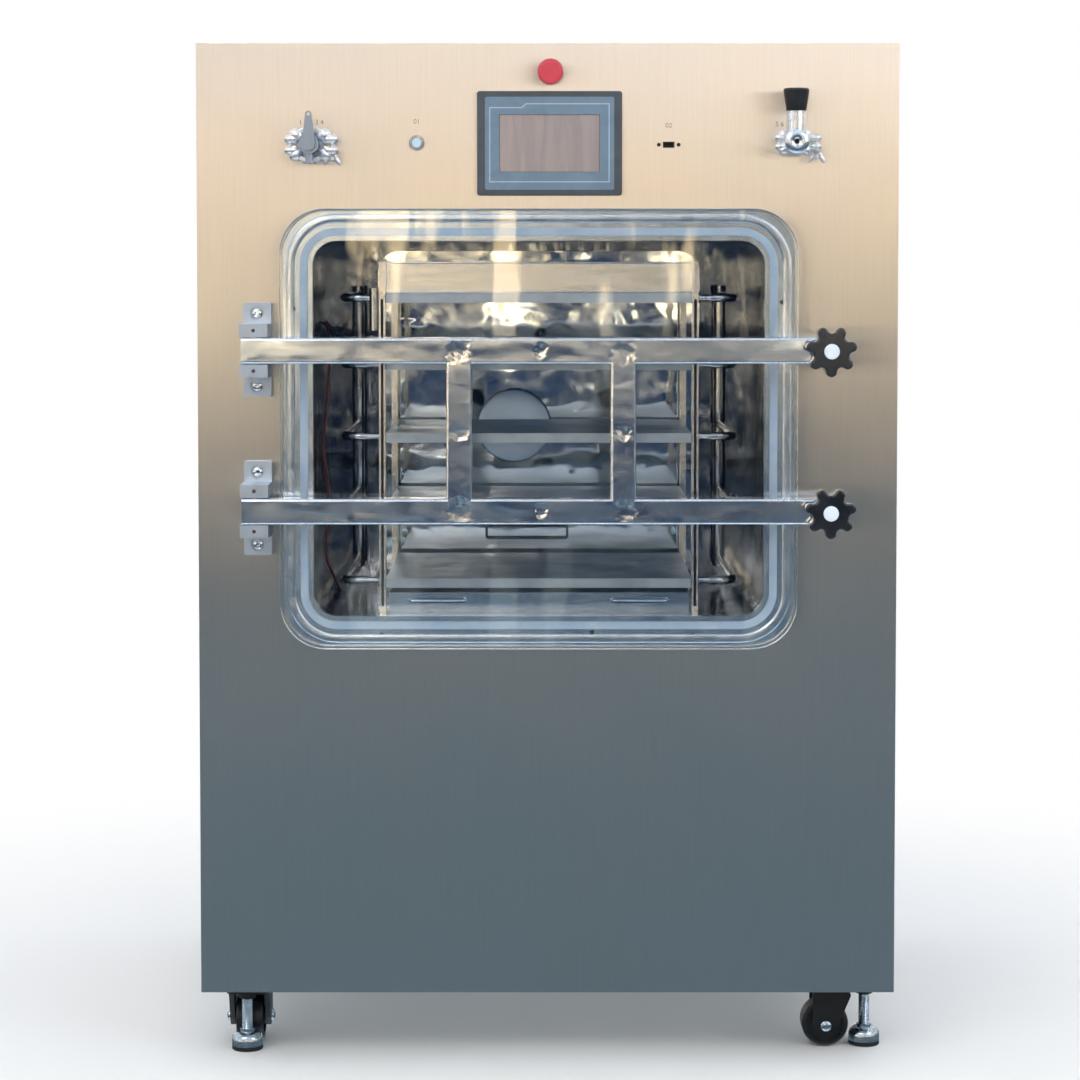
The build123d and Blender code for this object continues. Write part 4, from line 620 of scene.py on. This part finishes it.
def buildFlangeTrim():
    # the flange's bright bead beside the gasket, and the small screws that hold the flange down
    s = flangeTrim
    middle, low, high = place("door_flange")
    grow = 2 * (s["beadOut"] - s["band"])
    size = [(high.x - low.x) / mm + grow, (high.z - low.z) / mm + grow]
    bead = roundedRing(size, s["mouthCorner"] + s["beadOut"], s["beadWidth"], s["beadProud"], s["beadEdge"])
    makePiece("flange_bead", bead, beadSteel, "cabinet",
              upright(middle.x, middle.z, low.y), 60)
    for index, (x, z) in enumerate(s["screws"]):
        makePiece("flange_screw_%d" % (index + 1), turned(s["screw"], 24), darkSteel, "cabinet",
                  upright(x * mm, z * mm, low.y))


hingeTrim = {
    "x": -455.0, "bolts": (1190.5, 1076.5, 941.5, 827.5), "setScrews": (1164.75, 1102.25, 915.75, 853.25),
    "sunk": 0.9,  # how far a set screw lies behind the bracket's face
    "crown": ((0.0, -3.4), (2.8, -3.4), (2.8, 1.9), (3.3, 2.3), (5.4, 2.0), (7.0, 1.1), (7.9, 0.0),
              (3.9, 0.0), (3.9, -3.8), (0.0, -3.8)),
    "setScrew": ((0.0, -1.4), (1.4, -1.4), (1.4, 0.0), (2.8, 0.0), (2.8, -1.8), (0.0, -1.8)),
}


def frontAt(node, x, z, reach=9.0):
    # how far forward a node comes near a point of the front, all in millimetres
    near = [v.co.y for v in nodes[node].data.vertices
            if abs(v.co.x / mm - x) < reach and abs(v.co.z / mm - z) < reach]
    return min(near) / mm


def buildHingeTrim():
    # crowned socket heads on the hinge bolts, dark set screws that hold the pins
    s = hingeTrim
    x = s["x"]
    for index, z in enumerate(s["bolts"]):
        at = upright(x * mm, z * mm, frontAt("fasteners", x, z) * mm)
        makePiece("hinge_bolt_%d" % (index + 1), turned(s["crown"], 32), chromed, "cabinet",
                  at, 40)
    for index, z in enumerate(s["setScrews"]):
        at = upright(x * mm, z * mm, (frontAt("hinge_brackets", x, z) + s["sunk"]) * mm)
        makePiece("hinge_set_screw_%d" % (index + 1), turned(s["setScrew"], 20), darkSteel, "cabinet",
                  at, 40)


rackTrim = {
    "boxRise": 50.0, "hem": 3.2, "hemProud": 1.0, "hemCorner": 1.5, "hemEdge": 0.6,
    # slide and the keys after it size the black strips of painted slot shade
    "slide": 4.2, "slideProud": 0.3, "slideEnds": (722.0, 1212.0), "slideRound": 0.45,  # by its width
}


def buildRackTrim():
    # bright folded hem round the top box's front, and thin black strips on the front uprights that are
    # painted shade of their slots
    s = rackTrim
    low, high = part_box("shelf_rack")
    left, right = (corner.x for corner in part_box("heated_shelves"))
    size = [(right - left) / mm, s["boxRise"]]
    hem = roundedRing(size, s["hemCorner"], s["hem"], s["hemProud"], s["hemEdge"])
    makePiece("rack_hem", hem, chromed, "cabinet",
              upright((left + right) / 2, high.z - s["boxRise"] / 2 * mm, low.y), 50)
    bottom, top = s["slideEnds"]
    for index, x in enumerate(((low.x + left) / 2, (high.x + right) / 2)):
        # each strip is a dark sheet standing for the shade in an upright's slot
        strip = bmesh.new()
        bmesh.ops.create_grid(strip, x_segments=1, y_segments=1, size=0.5)
        bmesh.ops.scale(strip, vec=(s["slide"] * mm, (top - bottom) * mm, 1.0), verts=strip.verts)
        bmesh.ops.bevel(strip, geom=strip.verts[:], offset=s["slide"] * s["slideRound"] * mm, segments=5,
                        profile=0.5, affect="VERTICES", material=-1)
        extrude(strip, s["slideProud"] * mm)
        makePiece("rack_slide_%d" % (index + 1), strip, blackNylon, "cabinet",
                  upright(x, (bottom + top) / 2 * mm, low.y))


vapourCover = {
    "middle": (-57.0, 987.0), "lean": 3.0, "out": 3.2,  # leans back by degrees, stands out from the plate
    "profile": ((0.0, 3.4), (30.0, 3.1), (50.0, 2.5), (61.0, 1.9), (63.0, 1.5), (63.6, 0.8), (63.6, -4.0),
                (0.0, -4.0)),
}


def buildVapourCover():
    # a softly crowned facing on the round plate that keeps the shelves' heat from the trap
    s = vapourCover
    x, z = s["middle"]
    at = upright(x * mm, z * mm, place("baffle_fittings")[1].y - s["out"] * mm)
    lean = Matrix.Rotation(radians(-s["lean"]), 4, "X")
    makePiece("vapour_cover", turned(s["profile"], 64), discSteel, "cabinet",
              at @ lean, 50)


valveTrim = {
    "heights": (1453.0, 1457.0), "scales": (1.0, 0.76),  # the right valve's clamp is the smaller
    "ring": (29.0, 21.0, 13.0), "arcs": ((5.0, 175.0), (185.0, 355.0)),  # the two halves, in degrees
    "jaw": (12.0, 9.0, 10.0), "jawAngles": (35.0, 145.0, 215.0, 325.0), "jawReach": 26.0,
    "lugReach": 31.0, "lugSize": (9.5, 8.5, 7.4), "lugDepth": 6.0, "split": 1.2,
    "link": (7.0, 2.6),  # half its length, its radius
    "bolt": (-25.0, 9.0, 3.0),  # its ends and its radius
    "boltHead": (10.5, 14.5, 5.0, 0.6),  # its ends, its radius and how much it tapers
    "voxel": 0.55, "relax": 8,
    "dome": ((4.6, 0.0), (4.6, 1.6), (6.4, 3.0), (11.0, 3.4), (15.5, 2.4), (18.4, 0.8), (19.0, 0.0)),
    "seal": ((0.0, -5.0), (3.4, -5.0), (3.4, 0.6), (3.9, 0.6), (3.9, -5.6), (0.0, -5.6)),
}


def addArc(shape, section, start, end, steps=18):
    # a bar of rectangular section (outer and inner radius, width) bent round the y axis
    outer, inner, width = (value * mm for value in section)
    corners = ((inner, -width / 2), (outer, -width / 2), (outer, width / 2), (inner, width / 2))
    ring = [shape.verts.new((r, y, 0.0)) for r, y in corners]
    face = shape.faces.new(ring)
    bmesh.ops.rotate(shape, verts=ring, cent=(0, 0, 0), matrix=Matrix.Rotation(-radians(start), 3, "Y"))
    bmesh.ops.spin(shape, geom=[face], cent=(0, 0, 0), axis=(0, 1, 0), angle=-radians(end - start),
                   steps=steps)


def buildClamps():
    # two-piece cast clamps round each valve: bulging jaws, paired lugs, link on the left, bolt on the right
    s = valveTrim
    depth = place("valve_clamps")[0].y
    for index, side in enumerate(("left", "right")):
        centre = place(side + "_valve_body")[0].x
        bolt = (place(side + "_wing_nut")[0].x - centre) / mm
        k = s["scales"][index]
        lug = [value * k for value in s["lugSize"]]
        link = -s["lugReach"] * k
        blanks = bmesh.new()
        for start, end in s["arcs"]:
            addArc(blanks, [value * k for value in s["ring"]], start, end)
        for angle in s["jawAngles"]:
            x, z = cos(radians(angle)) * s["jawReach"] * k, sin(radians(angle)) * s["jawReach"] * k
            addBall(blanks, (x, 0, z), [value * k for value in s["jaw"]], -angle)
        for half in (-1, 1):
            rise = half * (s["split"] + lug[2])
            for x in (link, link + s["lugDepth"], bolt, bolt - s["lugDepth"]):
                addBall(blanks, (x, 0, rise), lug)
        end, radius = s["link"]
        addRod(blanks, (link, 0, -end), (link, 0, end), radius, radius)
        start, end, radius = s["bolt"]
        addRod(blanks, (bolt, 0, start), (bolt, 0, end), radius, radius)
        start, end, radius, taper = s["boltHead"]
        addRod(blanks, (bolt, 0, start * k), (bolt, 0, end * k), radius * k, radius * k - taper)
        at = Matrix.Translation((centre, depth, s["heights"][index] * mm))
        piece = makePiece("clamp_%d" % (index + 1), fused(blanks, s["voxel"], s["relax"]), castAlloy,
                          "cabinet", at, 60)
        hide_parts("valve_clamps")
    middle, low = place("right_valve_body")[:2]
    at = upright(middle.x, s["heights"][1] * mm, low.y)
    makePiece("valve_dome", turned(s["dome"], 48), spindleSteel, "cabinet", at, 50)
    makePiece("valve_seal", turned(s["seal"], 32), blackRubber, "cabinet", at, 50)


casterTrim = {
    "pad": ((0.0, 0.0), (23.6, 0.0), (25.0, 1.2), (25.0, 5.4), (24.2, 6.2), (0.0, 6.2)),
    "base": ((0.0, 6.2), (23.9, 6.2), (25.0, 7.2), (25.0, 16.0), (24.2, 20.8), (21.8, 24.8), (18.0, 27.6),
             (13.4, 29.0), (11.8, 29.3), (11.8, 33.2), (11.0, 34.0), (9.0, 34.2)),
    "pitch": 2.5, "threadDepth": 0.7, "chamfer": 1.0,  # the stud's thread and its end
    "axleCap": ((0.0, 2.4), (2.8, 2.3), (5.8, 1.6), (8.2, 0.5), (9.2, -0.8), (9.2, -3.6), (8.6, -3.6),
                (8.6, 0.1), (0.0, 0.1)),
    "axleHalf": 37.0,  # from the wheel's middle to the axle's end
}


def buildCasterTrim():
    # levelling feet with a rubber pad, domed base and threaded stud, and bright caps on the caster axles
    s = casterTrim
    for joint in frame["joints"]:
        if not joint["child"].endswith("_wheel"):
            continue
        corner = joint["child"].replace("_wheel", "")
        foot = corner + "_foot"
        middle, low, high = place(foot)
        at = Matrix.Translation((middle.x, middle.y, low.z))
        radius, height = s["base"][-1]
        profile, top = list(s["base"]), (high.z - low.z) / mm
        while height + s["pitch"] < top:
            profile += [(radius - s["threadDepth"], height + s["pitch"] / 2), (radius, height + s["pitch"])]
            height += s["pitch"]
        profile += [(radius - s["chamfer"], top), (0.0, top)]
        base = makePiece(foot + "_base", turned(profile, 32), footSteel, foot, at, 30)
        pad = makePiece(foot + "_pad", turned(s["pad"], 32), blackRubber, foot, at, 30)
        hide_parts(foot)
        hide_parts(foot)
        axis = Vector(joint["axis"])
        for side, end in ((-1, "inner"), (1, "outer")):
            out = Vector(joint["pos_m"]) + axis * side * s["axleHalf"] * mm
            turn = (axis * side).to_track_quat("Z", "Y").to_matrix().to_4x4()
            makePiece(corner + "_axle_cap_" + end, turned(s["axleCap"], 28), footSteel, corner + "_fork",
                      Matrix.Translation(out) @ turn, 40)


studio = {
    "tilt": 0.06,  # the room's dark line stands higher on the right
    "strength": 1.33,
    "bands": [  # sine of the height above the horizon, and the room's colour there
        (-1.0, "#DDE6EC"), (-0.75, "#C3CDD4"), (-0.55, "#40484B"), (-0.253, "#4A565A"), (-0.222, "#4F5C5F"),
        (-0.152, "#566365"), (-0.117, "#5B6365"), (-0.082, "#1C1F22"), (-0.065, "#121212"),
        (-0.047, "#32302E"), (-0.030, "#A09A8E"), (-0.012, "#FFE9C2"), (0.005, "#FFE2AF"),
        (0.022, "#FFE0AF"), (0.040, "#EDCDAB"), (0.057, "#DEC7AF"), (0.075, "#D5C9BB"), (0.30, "#C9CCD0"),
    ],
    "shade": "#24344A",  # the room's dark patches
    "gain": 4.6,  # how much brighter than the bands' colour the bright patches are
    "edge": (0.53, 0.59),  # the noise's values between which a dark patch turns bright
    "patchesPerRadian": (48.0, 48.0, 9.0),  # along x, y and up
    "slide": 3.0,  # moves the patches along x
}


def straight(owner, turnsBelow):
    # 1 for what the eye sees directly or straight through clear plates, 0 for reflections and light
    path = addNode(owner, "LightPath")
    depths = {0: path.outputs["Ray Depth"], 1: path.outputs["Transmission Depth"]}
    turns = addNode(owner, "Math", links=depths, operation="SUBTRACT")
    none = addNode(owner, "Math", {1: turnsBelow}, {0: turns.outputs["Value"]}, operation="LESS_THAN")
    kinds = {0: path.outputs["Is Camera Ray"], 1: path.outputs["Is Transmission Ray"]}
    seen = addNode(owner, "Math", links=kinds, operation="ADD")
    return addNode(owner, "Math", links={0: none.outputs["Value"], 1: seen.outputs["Value"]},
                   operation="MULTIPLY").outputs["Value"]


def buildRoom():
    # what the steel mirrors: a warm bright room above, cool ground below; the camera sees white behind it
    s = studio
    world = bpy.data.worlds.new("studio room")
    scene.world = world
    world.use_nodes = True
    tree = world.node_tree
    tree.nodes.clear()
    ray = addNode(world, "TexCoord").outputs["Generated"]
    height = addNode(world, "VectorMath", {1: (-s["tilt"], 0.0, 1.0)}, {0: ray},
                     operation="DOT_PRODUCT").outputs["Value"]
    (low, ground), (high, sky) = s["bands"][0], s["bands"][-1]
    share = addNode(world, "MapRange", {"From Min": low, "From Max": high}, {"Value": height})
    ramp = addNode(world, "ValToRGB", links={"Fac": share.outputs["Result"]})
    stops = ramp.color_ramp.elements
    for at, colour in s["bands"][1:-1]:
        stops.new((at - low) / (high - low)).color = linear(colour)
    stops[0].color, stops[-1].color = linear(ground), linear(sky)
    # dark and bright upright patches stand around: brushed steel blurs them away, polished steel shows them
    mapped = addNode(world, "Mapping", {"Scale": s["patchesPerRadian"], "Location": (s["slide"], 0.0, 0.0)},
                     {"Vector": ray})
    noise = addNode(world, "TexNoise", {"Scale": 1.0, "Detail": 3.0}, {"Vector": mapped.outputs["Vector"]})
    patches = spread(world, noise.outputs["Fac"], 0, 1, *s["edge"])
    lit = addNode(world, "VectorMath", {"Scale": s["gain"]}, {0: ramp.outputs["Color"]}, operation="SCALE")
    mixed = addNode(world, "Mix", {6: linear(s["shade"])}, {0: patches, 7: lit.outputs[0]},
                    data_type="RGBA", clamp_result=False)
    room = addNode(world, "Background", {"Strength": s["strength"]}, {"Color": mixed.outputs[2]})
    white = addNode(world, "Background", {"Color": linear("#FFFFFF"), "Strength": 1.0})
    seen = straight(world, 1.5)  # a ray through both faces of the door still counts
    mix = addNode(world, "MixShader", links={0: seen, 1: room.outputs[0], 2: white.outputs[0]})
    tree.links.new(mix.outputs[0], addNode(world, "OutputWorld").inputs["Surface"])


floorPlan = {"size": 40.0, "colour": "#F6F6F4", "white": (0.7, 2.2)}  # from where to where it turns white


def buildFloor():
    # pale floor that keeps the shadow near the machine and goes white further out
    mesh = bpy.data.meshes.new("floor")
    shape = bmesh.new()
    bmesh.ops.create_grid(shape, x_segments=1, y_segments=1, size=floorPlan["size"] / 2)
    shape.to_mesh(mesh)
    shape.free()
    floor = bpy.data.objects.new("floor", mesh)
    scene.collection.objects.link(floor)
    floor.visible_glossy = False
    material, surface = newMaterial("pale studio floor", floorPlan["colour"], 0.9)
    here = addNode(material, "TexCoord").outputs["Object"]
    reach = addNode(material, "VectorMath", links={0: here}, operation="LENGTH").outputs["Value"]
    far = spread(material, reach, 0, 1, *floorPlan["white"])
    white = addNode(material, "Emission", {"Color": linear("#FFFFFF"), "Strength": 1.0})
    share = addNode(material, "Math", links={0: far, 1: straight(material, 0.5)}, operation="MULTIPLY")
    mix = addNode(material, "MixShader",
                  links={0: share.outputs["Value"], 1: surface.outputs[0], 2: white.outputs[0]})
    # steel mirrors the room's dark ground in place of this floor, also through the door
    mirrored = addNode(material, "LightPath").outputs["Glossy Depth"]
    clear = addNode(material, "BsdfTransparent")
    both = addNode(material, "MixShader", links={0: mirrored, 1: mix.outputs[0], 2: clear.outputs[0]})
    join(material, material.node_tree.nodes["Material Output"], Surface=both.outputs[0])
    mesh.materials.append(material)


lamps = {
    "aim": (0.0, 0.0, 0.9),
    "key": {"at": (-2.2, -4.2, 3.8), "size": (2.6, 1.8), "power": 60.0, "colour": "#FFF6EA"},
    "fill": {"at": (3.0, -3.0, 2.6), "size": (2.0, 2.0), "power": 25.0, "colour": "#EEF4FF"},
}


def buildLamps():
    # two soft area lamps, the warm one from the left
    for name in ("key", "fill"):
        lamp = lamps[name]
        light = bpy.data.lights.new(name + " lamp", "AREA")
        light.shape = "RECTANGLE"
        light.size, light.size_y = lamp["size"]
        light.energy = lamp["power"]
        light.color = linear(lamp["colour"])[:3]
        holder = bpy.data.objects.new(name + " lamp", light)
        scene.collection.objects.link(holder)
        holder.location = lamp["at"]
        way = Vector(lamps["aim"]) - Vector(lamp["at"])
        holder.rotation_euler = way.to_track_quat("-Z", "Y").to_euler()


cameraPlan = {
    "distance": 4.5, "x": -0.012, "height": 1.267, "pitch": 2.8,  # pitched down, in degrees
    "lens": 95.5, "sensor": 36.0, "shift": -0.1255,
}


def buildCamera():
    # from the front, level with the upper half of the door and looking down a little
    s = cameraPlan
    camera = bpy.data.cameras.new("front camera")
    camera.lens, camera.sensor_width, camera.shift_y = s["lens"], s["sensor"], s["shift"]
    holder = bpy.data.objects.new("front camera", camera)
    scene.collection.objects.link(holder)
    holder.location = (s["x"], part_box("front_panel")[0].y - s["distance"], s["height"])
    holder.rotation_euler = (radians(90 - s["pitch"]), 0.0, 0.0)
    scene.camera = holder


buildDisplayFace()
buildMarks()
buildKnobCaps()
buildWingNuts()
buildClamps()
buildFlangeTrim()
buildHingeTrim()
buildVapourCover()
buildRackTrim()
buildCasterTrim()
print("controls dressed")
buildRoom()
buildFloor()
buildLamps()
buildCamera()
scene.view_settings.view_transform = "Standard"
print("studio built")
